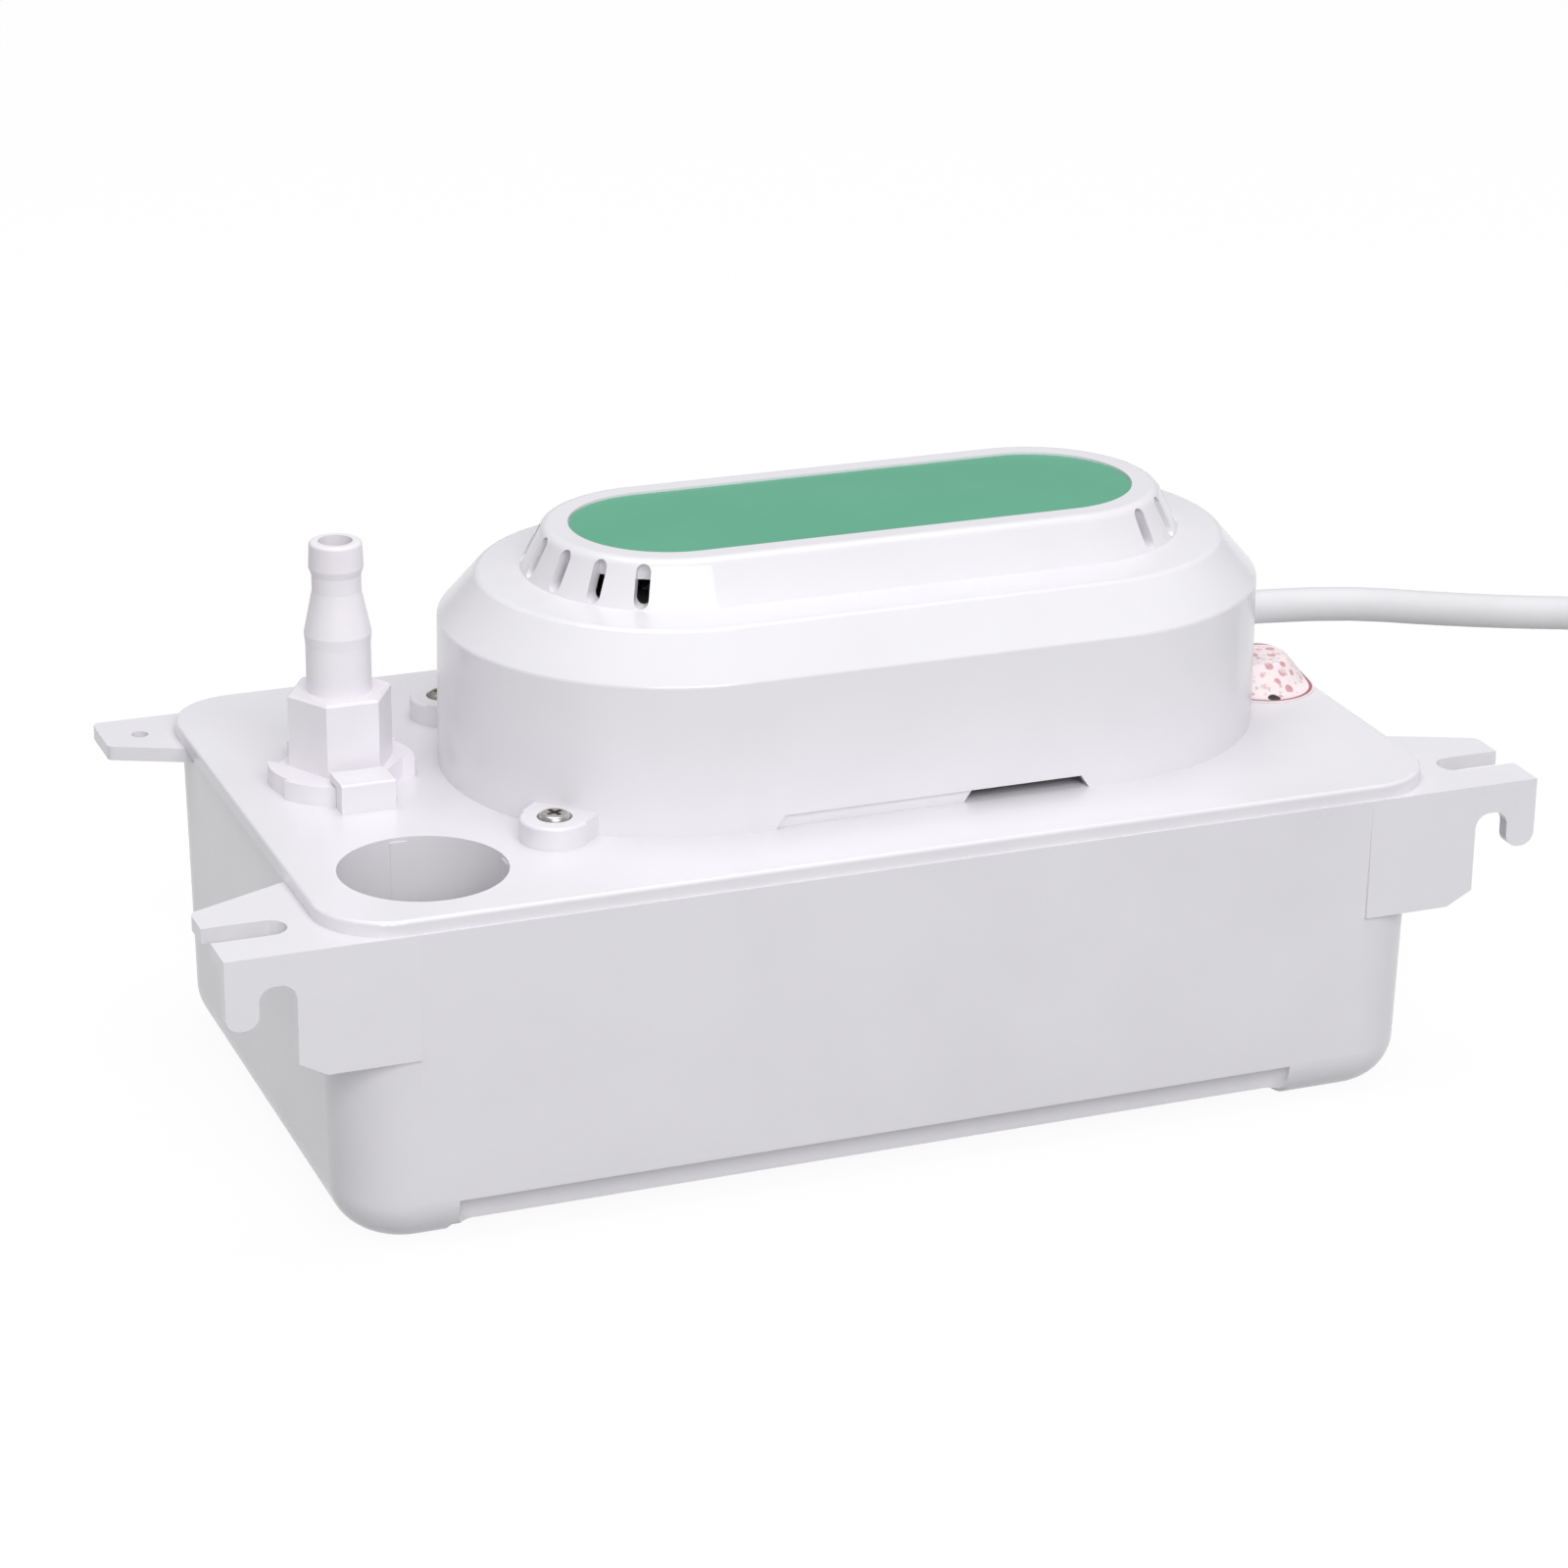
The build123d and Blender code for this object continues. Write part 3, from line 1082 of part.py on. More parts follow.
def make_valve_spring():
    low = poppet_low() + POPPET_HEIGHT + SPRING_WIRE / 2 + 0.05
    high = LID_Z + VALVE_CHAMBER_TOP - SPRING_WIRE / 2 - 0.05
    radius = VALVE_CHAMBER - SPRING_WIRE / 2 - 0.9
    path = Helix(pitch=(high - low) / SPRING_TURNS, height=high - low, radius=radius)
    section = Plane(origin=path @ 0, z_dir=path % 0) * RegularPolygon(SPRING_WIRE / 2, 6)
    return Pos(OUTLET_X, OUTLET_Y, low) * sweep(section, path=path, is_frenet=True)


# ---- float and switches -----------------------------------------------------
def make_float():
    body = Pos(FLOAT_X, MOTOR_Y, FLOAT_BOTTOM_Z) * Box(
        FLOAT_LENGTH, FLOAT_DEPTH, FLOAT_HEIGHT, align=BASE)
    body = fillet(body.edges().filter_by(Axis.Z), FLOAT_EDGE * 1.5)
    body = fillet(body.edges().group_by(Axis.Z)[0] + body.edges().group_by(Axis.Z)[-1],
                  FLOAT_EDGE)
    top = FLOAT_BOTTOM_Z + FLOAT_HEIGHT
    return body - rod(STEM_ROD_RADIUS, FLOAT_BOTTOM_Z, top, FLOAT_X, MOTOR_Y)


def make_float_stem():
    """The rod that the float hangs on, with a flange under the float."""
    top = LID_Z + LEVER_HEIGHT - LEVER_PLATE / 2 - LOOSE
    stem = rod(STEM_ROD_RADIUS, FLOAT_BOTTOM_Z - 1.4, top)
    stem = fillet(stem.edges().group_by(Axis.Z)[-1], STEM_ROD_RADIUS * 0.6)
    stem += rod(STEM_ROD_RADIUS * 2, FLOAT_BOTTOM_Z - 1.4, FLOAT_BOTTOM_Z)
    return Pos(FLOAT_X, MOTOR_Y) * stem


def make_stem_collar():
    low = LID_Z + GUIDE_HEIGHT
    collar = ring(STEM_COLLAR_RADIUS, STEM_ROD_RADIUS, low, low + STEM_COLLAR)
    return Pos(FLOAT_X, MOTOR_Y) * collar


def lever_pin_place():
    return FLOAT_X - LEVER_ARM, LID_Z + LEVER_HEIGHT


def make_switch_lever():
    x, z = lever_pin_place()
    half = LEVER_WIDTH / 2
    lever = block(x, FLOAT_X + 4, MOTOR_Y - half, MOTOR_Y + half,
                  z - LEVER_PLATE / 2, z + LEVER_PLATE / 2)
    corners = lever.edges().filter_by(Axis.Z).group_by(Axis.X)[-1]
    lever = fillet(corners, 3)
    lever += cross_rod(LEVER_EYE_RADIUS, MOTOR_Y - half, MOTOR_Y + half, x, z)
    lever -= block(x + 12, FLOAT_X - 6, MOTOR_Y - 3.5, MOTOR_Y + 3.5, z - 2, z + 2)
    return lever - cross_rod(LEVER_PIN_RADIUS + RUNNING, MOTOR_Y - half, MOTOR_Y + half, x, z)


def make_lever_pin():
    x, z = lever_pin_place()
    half = LEVER_WIDTH / 2 + LOOSE + BRACKET_WALL
    return cross_rod(LEVER_PIN_RADIUS, MOTOR_Y - half, MOTOR_Y + half, x, z)


def switch_low_z():
    """Underside of the switches: clear of the lever at the top of its swing."""
    swing = FLOAT_TRAVEL / LEVER_ARM
    x, z = lever_pin_place()
    return z + LEVER_PLATE / 2 + SWITCH_OVERHANG * tan(swing) + 0.5


def switch_span():
    x, z = lever_pin_place()
    high = x + SWITCH_OVERHANG
    return high - SWITCH_LENGTH, high


def switch_pin_places():
    low, high = switch_span()
    z = switch_low_z() + 2.8
    return [(low + 3.2, z), (low + 12.7, z)]


def switch_y(side):
    return MOTOR_Y + side * (SWITCH_WIDTH / 2 + 0.2)


def make_switch(side):
    """A snap-action switch body with its button facing down and three blades."""
    low, high = switch_span()
    y = switch_y(side)
    half = SWITCH_WIDTH / 2
    z = switch_low_z()
    body = block(low, high, y - half, y + half, z, z + SWITCH_BODY_HEIGHT)
    body = chamfer(body.edges().filter_by(Axis.Y), 0.6)
    for blade in range(3):
        x = low + 2.5 + blade * (SWITCH_LENGTH - 5) / 2
        body += block(x - 0.3, x + 0.3, y - 1.6, y + 1.6, z + SWITCH_BODY_HEIGHT - 0.5,
                      z + SWITCH_BODY_HEIGHT + 4)
    for x, pin_z in switch_pin_places():
        body -= cross_rod(SWITCH_PIN_RADIUS + RUNNING, y - half, y + half, x, pin_z)
    pin_x, pin_z = lever_pin_place()
    well = rod(BUTTON_RADIUS + RUNNING, z, z + 4.5, pin_x + BUTTON_ARM, y)
    return body - well


def make_button(side):
    """Free end just above the lever; the alarm's is shorter and meets it last."""
    x, z = lever_pin_place()
    low = z + LEVER_PLATE / 2 + LOOSE
    if side > 0:
        low += BUTTON_ARM * tan(FLOAT_TRAVEL / LEVER_ARM) + 0.1
    y = switch_y(side)
    button = rod(BUTTON_RADIUS, low, switch_low_z() + 2.2)
    button = fillet(button.edges().group_by(Axis.Z)[0], BUTTON_RADIUS * 0.5)
    return Pos(x + BUTTON_ARM, y) * button


def make_switch_bracket():
    """A moulded channel: two cheeks for the lever's pin and the switches' pins."""
    low, high = switch_span()
    inner = LEVER_WIDTH / 2 + LOOSE
    outer = inner + BRACKET_WALL
    top = switch_low_z() + SWITCH_BODY_HEIGHT * 0.6
    x, z = lever_pin_place()
    bracket = block(low - 2.4, high + 1, MOTOR_Y - outer, MOTOR_Y + outer, LID_Z, top)
    upper = bracket.edges().filter_by(Axis.Y).group_by(Axis.Z)[-1]
    bracket = fillet(upper, 3)
    bracket -= block(low - 0.4, high + 2, MOTOR_Y - inner, MOTOR_Y + inner, LID_Z + 2, top + 1)
    reach = MOTOR_Y - outer, MOTOR_Y + outer
    bracket -= cross_rod(LEVER_PIN_RADIUS, *reach, x, z)
    for pin_x, pin_z in switch_pin_places():
        bracket -= cross_rod(SWITCH_PIN_RADIUS, *reach, pin_x, pin_z)
    for screw_x in bracket_screw_places():
        bracket -= rod(SMALL_SCREW_RADIUS + 0.2, LID_Z, LID_Z + 2, screw_x, MOTOR_Y)
    return bracket


def bracket_screw_places():
    low, high = switch_span()
    return low + 3.0, high - 3.0


def make_switch_pins():
    half = LEVER_WIDTH / 2 + LOOSE + BRACKET_WALL
    return [cross_rod(SWITCH_PIN_RADIUS, MOTOR_Y - half, MOTOR_Y + half, x, z)
            for x, z in switch_pin_places()]


def make_bracket_screws():
    screw = pan_head_screw(SMALL_SCREW_RADIUS, SMALL_SCREW_HEAD, SMALL_SCREW_HEAD_HEIGHT, 4.5)
    return [Pos(x, MOTOR_Y, LID_Z + 2) * screw for x in bracket_screw_places()]


# ---- wiring -----------------------------------------------------------------
def gland_neck_span():
    """The slanted cover wall's reach along the gland's neck."""
    end = COVER_X + COVER_STRAIGHT / 2
    side = CORD_Y - MOTOR_Y
    near = side - GLAND_COLLAR_RADIUS
    far = side + GLAND_COLLAR_RADIUS
    inner = (COVER_RADIUS - COVER_WALL) ** 2 - far ** 2
    outer = COVER_RADIUS ** 2 - near ** 2
    return end + inner ** 0.5 - LOOSE, end + outer ** 0.5 + LOOSE


def make_gland():
    """Rubber strain relief: a neck between two collars and a ribbed nose."""
    inside, outside = gland_neck_span()
    z = LID_Z + CORD_HEIGHT
    gland = long_rod(GLAND_COLLAR_RADIUS, inside - GLAND_COLLAR, inside, CORD_Y, z)
    gland += long_rod(GLAND_NECK_RADIUS, inside, outside, CORD_Y, z)
    gland += long_rod(GLAND_COLLAR_RADIUS, outside, outside + GLAND_COLLAR, CORD_Y, z)
    nose = Pos(outside + GLAND_COLLAR, CORD_Y, z) * Rot(0, 90, 0) * Cone(
        GLAND_NECK_RADIUS, CORD_RADIUS + 0.7, GLAND_NOSE, align=BASE)
    gland += nose
    nose_end = outside + GLAND_COLLAR + GLAND_NOSE
    for step in (0.3, 0.62):
        groove_x = outside + GLAND_COLLAR + GLAND_NOSE * step
        gland -= long_rod(GLAND_COLLAR_RADIUS, groove_x, groove_x + 0.9, CORD_Y, z) - long_rod(
            CORD_RADIUS + 0.55, groove_x, groove_x + 0.9, CORD_Y, z)
    return gland - long_rod(CORD_RADIUS + RUNNING, inside - GLAND_COLLAR, nose_end, CORD_Y, z)


def make_terminal_block():
    y_low = CORD_Y - TERMINAL_DEPTH / 2
    body = block(TERMINAL_X, TERMINAL_X + TERMINAL_LENGTH, y_low, y_low + TERMINAL_DEPTH,
                 LID_Z, LID_Z + TERMINAL_HEIGHT)
    body = chamfer(body.edges().filter_by(Axis.Y).group_by(Axis.Z)[-1], 1.2)
    poles = 3
    pitch = TERMINAL_DEPTH / poles
    for pole in range(poles):
        y = y_low + pitch * (pole + 0.5)
        body -= rod(1.5, LID_Z + TERMINAL_HEIGHT - 2.5, LID_Z + TERMINAL_HEIGHT,
                    TERMINAL_X + 4, y)
        body -= rod(1.5, LID_Z + TERMINAL_HEIGHT - 2.5, LID_Z + TERMINAL_HEIGHT,
                    TERMINAL_X + TERMINAL_LENGTH - 4, y)
    return body


def make_cord_clamp():
    """A saddle over the cord, screwed to the lid."""
    x_low = TERMINAL_X + TERMINAL_LENGTH + AIR
    x_high = x_low + CLAMP_LENGTH
    clamp = block(x_low, x_high, CORD_Y - CLAMP_HALF_WIDTH, CORD_Y + CLAMP_HALF_WIDTH, LID_Z,
                  LID_Z + CORD_HEIGHT + CORD_RADIUS + 2)
    clamp = fillet(clamp.edges().filter_by(Axis.X).group_by(Axis.Z)[-1], 4)
    z = LID_Z + CORD_HEIGHT
    radius = CORD_RADIUS + RUNNING
    clamp -= long_rod(radius, x_low, x_high, CORD_Y, z)
    return clamp - block(x_low, x_high, CORD_Y - radius, CORD_Y + radius, LID_Z, z)


def make_motor_leads():
    """Two insulated leads from the terminal block to the bobbin's rear cheek."""
    cheek_y = MOTOR_Y + BOBBIN_LENGTH / 2
    run_z = LID_Z + 3.0
    end_z = LID_Z + 7.0
    leads = []
    for number in range(2):
        y = cheek_y + 3.0 + number * (2 * WIRE_RADIUS + 0.6)
        end_x = winding_x() + 7 - number * 6
        start = Vector(TERMINAL_X, y, run_z)
        bend = Vector(end_x + 5, y, run_z)
        end = Vector(end_x, cheek_y + WIRE_RADIUS + LOOSE, end_z)
        path = FilletPolyline(start, bend, end, radius=4)
        section = Plane(origin=path @ 0, z_dir=path % 0) * Circle(WIRE_RADIUS)
        leads.append(sweep(section, path=path))
    return leads


def cord_tube(points):
    """A cord of straight runs joined by arcs as wide as the runs allow."""
    corners = [Vector(*point) for point in points]
    radii = []
    for before, corner, after in zip(corners, corners[1:], corners[2:]):
        turn = radians((corner - before).get_angle(after - corner))
        shorter = min((corner - before).length, (after - corner).length)
        radii.append(0.45 * shorter / tan(turn / 2))
    pieces = []
    last = corners[0]
    for index, radius in enumerate(radii):
        before, corner, after = corners[index:index + 3]
        turn = radians((corner - before).get_angle(after - corner))
        setback = radius * tan(turn / 2)
        start = corner + (before - corner).normalized() * setback
        end = corner + (after - corner).normalized() * setback
        bulge = (start + end) / 2
        inward = (bulge - corner).normalized()
        centre = corner + inward * (radius / cos(turn / 2))
        middle = centre - inward * radius
        pieces += [Line(last, start), ThreePointArc(start, middle, end)]
        last = end
    pieces.append(Line(last, corners[-1]))
    path = Wire(pieces)
    section = Plane(origin=path @ 0, z_dir=path % 0) * Circle(CORD_RADIUS)
    tube = sweep(section, path=path)
    shown = [round(radius, 1) for radius in radii]
    ratio = tube.volume / (pi * CORD_RADIUS ** 2 * path.length)
    print("cord length", round(path.length, 1), "radii", shown, "volume ratio", round(ratio, 4))
    return tube


COIL_LOW_Z = TIE_SHEET + 0.1
LANE = 2 * CORD_RADIUS
COIL_OUTER_LANE = COIL_TURN_RADIUS + LANE * (COIL_LANES - 1) / 2
COIL_ENTRY = COIL_OUTER_LANE * cos(radians(45))
CORD_ROUTE = [
    (TERMINAL_X + TERMINAL_LENGTH, CORD_Y, LID_Z + CORD_HEIGHT),
    (114.0, CORD_Y, LID_Z + CORD_HEIGHT),
    (158.0, CORD_Y + 0.7, 62.5),
    (197.0, CORD_Y - 0.6, 58.0),
    (222.0, 9.0, 34.0),
    (234.0, -17.8, 12.0),
    (COIL_CENTRE_X - COIL_ENTRY, COIL_CENTRE_Y - COIL_ENTRY, COIL_LOW_Z + CORD_RADIUS),
]
COIL_EXIT_X = COIL_CENTRE_X + COIL_OUTER_LANE
COIL_EXIT_Z = COIL_LOW_Z + CORD_RADIUS + LANE
PLUG_X = COIL_EXIT_X + 50.0
PLUG_Y = 41.0
CORD_END_ROUTE = [
    (COIL_EXIT_X, COIL_CENTRE_Y, COIL_EXIT_Z),
    (COIL_EXIT_X + 0.2, 12.0, COIL_EXIT_Z),
    (COIL_EXIT_X + 10.9, 30.5, 14.0),
    (COIL_EXIT_X + 29.5, PLUG_Y, 17.4),
    (PLUG_X, PLUG_Y, PLUG_FACE_RADIUS),
]


def make_cord_coil():
    """The outer shape of the coiled length of cord."""
    width = LANE * COIL_LANES
    height = LANE * COIL_LAYERS
    section = Pos(COIL_TURN_RADIUS, COIL_LOW_Z + height / 2) * RectangleRounded(
        width, height, CORD_RADIUS * 0.98)
    return Pos(COIL_CENTRE_X, COIL_CENTRE_Y) * revolve(Plane.XZ * section, axis=Axis.Z)


def make_cord_tie():
    """A strap wrapped once round the coil on its far side."""
    width = LANE * COIL_LANES + 1.2
    height = LANE * COIL_LAYERS + 0.2
    inner = RectangleRounded(width, height, CORD_RADIUS)
    outer = RectangleRounded(width + 2 * TIE_SHEET, height + 2 * TIE_SHEET,
                             CORD_RADIUS + TIE_SHEET)
    middle = COIL_LOW_Z + LANE * COIL_LAYERS / 2
    section = Plane.XZ * (Pos(COIL_TURN_RADIUS, middle) * (outer - inner))
    strap = extrude(section, amount=TIE_WIDTH / 2, both=True)
    return Pos(COIL_CENTRE_X, COIL_CENTRE_Y) * Rot(0, 0, 125) * strap


def plug_along(shape):
    """Lay a plug piece built upright along its axis onto the floor, facing away."""
    return Pos(PLUG_X, PLUG_Y, PLUG_FACE_RADIUS) * Rot(0, 90, 0) * Rot(0, 0, 90) * shape


def make_plug_body():
    """Moulded mains plug: tapered tail, grip and flat-sided round head."""
    tail = PLUG_TAIL_LENGTH
    face = tail + PLUG_BODY_LENGTH
    profile = Polyline(
        (0, 0), (CORD_RADIUS + 1.2, 0), (PLUG_GRIP_RADIUS, tail),
        (PLUG_FACE_RADIUS, tail + 6), (PLUG_FACE_RADIUS, face), (0, face), close=True)
    body = revolve(Plane.XZ * make_face(profile), axis=Axis.Z)
    body = fillet(edges_at(body, face), 1.5)
    body = fillet(edges_at(body, tail + 6), 2.5)
    flat = Box(60, 60, PLUG_BODY_LENGTH)
    for side in (-1, 1):
        body -= Pos(side * (PLUG_FACE_RADIUS * 0.9 + 30), 0, tail + 6 + PLUG_BODY_LENGTH / 2) * flat
    body -= rod(2.5, face - 18, face, 0, PLUG_FACE_RADIUS * 0.55)
    for side in (-1, 1):
        body -= rod(PLUG_PIN_RADIUS, face - 8, face, side * PLUG_PIN_SPACING / 2, 0)
    return plug_along(body)


def make_plug_pins():
    face = PLUG_TAIL_LENGTH + PLUG_BODY_LENGTH
    pins = []
    for side in (-1, 1):
        pin = rod(PLUG_PIN_RADIUS, face - 8, face + PLUG_PIN_LENGTH)
        pin = fillet(pin.edges().group_by(Axis.Z)[-1], PLUG_PIN_RADIUS * 0.7)
        pins.append(plug_along(Pos(side * PLUG_PIN_SPACING / 2, 0) * pin))
    return pins


# ---- every piece, by the name of its file -----------------------------------
PIECES = {
    "tank": make_tank,
    "lid": make_lid,
    "motor_cover": make_cover,
    "label": make_label,
    "seal_sticker": make_seal,
    "cover_screws": make_cover_screws,
    "motor_stator": make_stator,
    "shading_rings": make_shading_rings,
    "coil_bobbin": make_bobbin,
    "coil_winding": make_winding,
    "upper_bearing_bracket": lambda: make_bearing_bracket(True),
    "lower_bearing_bracket": lambda: make_bearing_bracket(False),
    "shaft_bearings": make_bearings,
    "motor_screws": make_motor_screws,
    "rotor": make_rotor,
    "motor_shaft": make_shaft,
    "cooling_fan": make_fan,
    "pump_column": make_column,
    "volute_body": make_volute,
    "suction_cover": make_suction_cover,
    "volute_screws": make_volute_screws,
    "impeller": make_impeller,
    "riser_hose": make_riser_hose,
    "valve_base": make_valve_base,
    "outlet_barb": make_outlet_barb,
    "valve_oring": make_valve_oring,
    "valve_poppet": make_valve_poppet,
    "valve_spring": make_valve_spring,
    "float": make_float,
    "float_stem": make_float_stem,
    "stem_collar": make_stem_collar,
    "switch_bracket": make_switch_bracket,
    "bracket_screws": make_bracket_screws,
    "switch_lever": make_switch_lever,
    "lever_pin": make_lever_pin,
    "run_switch": lambda: make_switch(-1),
    "alarm_switch": lambda: make_switch(1),
    "switch_pins": make_switch_pins,
    "run_button": lambda: make_button(-1),
    "alarm_button": lambda: make_button(1),
    "terminal_block": make_terminal_block,
    "motor_leads": make_motor_leads,
    "cord_clamp": make_cord_clamp,
    "cord_gland": make_gland,
    "power_cord": lambda: cord_tube(CORD_ROUTE),
    "cord_coil": make_cord_coil,
    "cord_tie": make_cord_tie,
    "cord_end": lambda: cord_tube(CORD_END_ROUTE),
    "plug_body": make_plug_body,
    "plug_pins": make_plug_pins,
}

os.makedirs("parts", exist_ok=True)
for node, make in PIECES.items():
    made = make()
    solids = made if isinstance(made, list) else [made]
    group = Compound(children=[solid for piece in solids for solid in piece.solids()])
    export_step(group, f"parts/{node}.step")
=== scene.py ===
from math import cos, pi, radians, sin

import bpy
from mathutils import Matrix, Vector


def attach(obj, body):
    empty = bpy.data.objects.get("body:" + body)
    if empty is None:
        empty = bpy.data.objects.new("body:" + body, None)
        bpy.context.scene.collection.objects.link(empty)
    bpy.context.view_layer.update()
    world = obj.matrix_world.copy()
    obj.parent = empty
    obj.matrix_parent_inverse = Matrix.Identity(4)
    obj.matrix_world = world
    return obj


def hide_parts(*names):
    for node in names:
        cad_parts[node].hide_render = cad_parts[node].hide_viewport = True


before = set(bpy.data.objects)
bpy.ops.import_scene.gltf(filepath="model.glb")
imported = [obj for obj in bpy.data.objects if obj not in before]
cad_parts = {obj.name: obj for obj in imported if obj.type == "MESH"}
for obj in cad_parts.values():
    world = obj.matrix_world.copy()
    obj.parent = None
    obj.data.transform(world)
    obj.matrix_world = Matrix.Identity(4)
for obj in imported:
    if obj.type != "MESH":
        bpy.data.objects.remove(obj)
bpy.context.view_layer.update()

# ---- sizes shared with the solids, in metres ---------------------------------
CORD_RADIUS = 0.0034
CORD_Y = 0.020
CORD_Z = 0.0707             # cord axis where it leaves the cover
COIL_CENTRE = Vector((0.290, -0.009))
COIL_RADIUS = 0.039
COIL_LANE = 2 * CORD_RADIUS
COIL_LOW = 0.0009 + CORD_RADIUS
POINTS_PER_TURN = 20
PLUG_HEIGHT = 0.0182

COIL_OUTER_LANE = 0.0458    # the outermost turn's radius
COIL_ENTRY = COIL_OUTER_LANE * cos(radians(45))
COIL_EXIT_X = COIL_CENTRE.x + COIL_OUTER_LANE
COIL_EXIT_Z = COIL_LOW + COIL_LANE

CORD_START = (0.071, CORD_Y, CORD_Z)
CORD_ROUTE = [
    CORD_START,
    (0.114, CORD_Y, CORD_Z),
    (0.158, CORD_Y + 0.0007, 0.0625),
    (0.197, CORD_Y - 0.0006, 0.058),
    (0.222, 0.009, 0.034),
    (0.234, -0.0178, 0.012),
    (COIL_CENTRE.x - COIL_ENTRY, COIL_CENTRE.y - COIL_ENTRY, COIL_LOW),
]
CORD_END_ROUTE = [
    (COIL_EXIT_X, COIL_CENTRE.y, COIL_EXIT_Z),
    (COIL_EXIT_X + 0.0002, 0.012, COIL_EXIT_Z),
    (COIL_EXIT_X + 0.0109, 0.0305, 0.014),
    (COIL_EXIT_X + 0.0295, 0.041, 0.0174),
    (COIL_EXIT_X + 0.050, 0.041, PLUG_HEIGHT),
]

SEAL_CENTRE = (0.0961, -0.00395)
SEAL_RADIUS = 0.0098
SEAL_DOT = (0.0946, -0.0117, 0.0632)
SEAL_DOT_RADIUS = 0.00115

# ---- studio values -----------------------------------------------------------
CAMERA_PLACE = (-0.28998, -0.72932, 0.35902)
CAMERA_YAW = radians(21.58)
CAMERA_PITCH = radians(21.265)
CAMERA_ROLL = radians(0.631)
CAMERA_LENS = 103.275       # millimetres, on a sensor 36 wide
LAMP_AIM = (0.0, 0.0, 0.05)
FLOOR_REACH = 3.0
FLOOR_GLOW = 1.17           # how bright the floor looks to the camera
FLOOR_GLOW_SHARE = 0.80     # the rest shows the lamps and the soft shadow

# ---- values that several finishes share --------------------------------------
COAT_ROUGHNESS = 0.1
MIX_FIRST, MIX_SECOND, MIX_RESULT = 6, 7, 2     # colour sockets of a Mix node


# ---- camera ------------------------------------------------------------------
def place_camera():
    """A long lens in front, to the left and above."""
    across = cos(CAMERA_PITCH)
    forward = Vector((sin(CAMERA_YAW) * across, cos(CAMERA_YAW) * across, -sin(CAMERA_PITCH)))
    level = Vector((cos(CAMERA_YAW), -sin(CAMERA_YAW), 0.0))
    upward = level.cross(forward)
    right = cos(CAMERA_ROLL) * level + sin(CAMERA_ROLL) * upward
    up = cos(CAMERA_ROLL) * upward - sin(CAMERA_ROLL) * level
    camera = bpy.data.objects.new("camera", bpy.data.cameras.new("camera"))
    bpy.context.collection.objects.link(camera)
    rotation = Matrix((right, up, -forward)).transposed().to_4x4()
    camera.matrix_world = Matrix.Translation(CAMERA_PLACE) @ rotation
    camera.data.sensor_width = 36.0
    camera.data.lens = CAMERA_LENS
    camera.data.clip_start = 0.01
    camera.data.clip_end = 20.0
    bpy.context.scene.camera = camera


# ---- cord --------------------------------------------------------------------
def coil_points():
    """Control points of the turns: in over the lower layer, out over the upper."""
    lanes = [1, 0, -1, -1, 0, 1]
    layers = [0, 0, 0, 1, 1, 1]
    turns = 5.375
    hop = 0.17              # share of a turn that crosses to the next lane
    start_angle = -0.75 * pi
    slack = 0.997
    spread = slack / cos(pi / POINTS_PER_TURN)
    points = []
    for index in range(1, int(turns * POINTS_PER_TURN)):
        place = index / POINTS_PER_TURN
        turn = int(place)
        share = max(0.0, (place - turn - (1.0 - hop)) / hop)
        share = share * share * (3 - 2 * share)
        after = min(turn + 1, len(lanes) - 1)
        lane = lanes[turn] + (lanes[after] - lanes[turn]) * share
        layer = layers[turn] + (layers[after] - layers[turn]) * share
        radius = (COIL_RADIUS + lane * COIL_LANE) * spread
        angle = start_angle + 2 * pi * place
        points.append((COIL_CENTRE.x + radius * cos(angle),
                       COIL_CENTRE.y + radius * sin(angle),
                       COIL_LOW + layer * COIL_LANE))
    return points


def make_cord():
    """The whole mains lead: from the terminal block, round its coil, to the plug."""
    points = CORD_ROUTE + coil_points() + CORD_END_ROUTE
    line = bpy.data.curves.new("mains_cord", "CURVE")
    line.dimensions = "3D"
    line.resolution_u = 6
    line.bevel_depth = CORD_RADIUS
    line.bevel_resolution = 7
    line.use_fill_caps = True
    spline = line.splines.new("NURBS")
    spline.points.add(len(points) - 1)
    for point, place in zip(spline.points, points):
        point.co = (*place, 1.0)
    spline.order_u = 3
    spline.use_endpoint_u = True
    cord = bpy.data.objects.new("mains_cord", line)
    bpy.context.collection.objects.link(cord)
    return cord


# ---- shader groups -----------------------------------------------------------
def new_group(name, inputs, outputs):
    """An empty node group with its sockets, and its two end nodes."""
    group = bpy.data.node_groups.new(name, "ShaderNodeTree")
    kinds = {"value": "NodeSocketFloat", "colour": "NodeSocketColor"}
    for label, kind, start in inputs:
        socket = group.interface.new_socket(name=label, in_out="INPUT", socket_type=kinds[kind])
        socket.default_value = start
    for label, kind in outputs:
        group.interface.new_socket(name=label, in_out="OUTPUT", socket_type=kinds[kind])
    return group, group.nodes.new("NodeGroupInput"), group.nodes.new("NodeGroupOutput")


def add_node(tree, kind, **settings):
    """One node with the given settings."""
    node = tree.nodes.new(kind)
    for name, value in settings.items():
        setattr(node, name, value)
    return node


def maths(tree, operation, first, second=None):
    """One Math node; a value may be a number or another node's socket."""
    node = add_node(tree, "ShaderNodeMath", operation=operation)
    for slot, value in enumerate((first, second)):
        if value is None:
            continue
        if isinstance(value, (int, float)):
            node.inputs[slot].default_value = value
        else:
            tree.links.new(value, node.inputs[slot])
    return node.outputs[0]


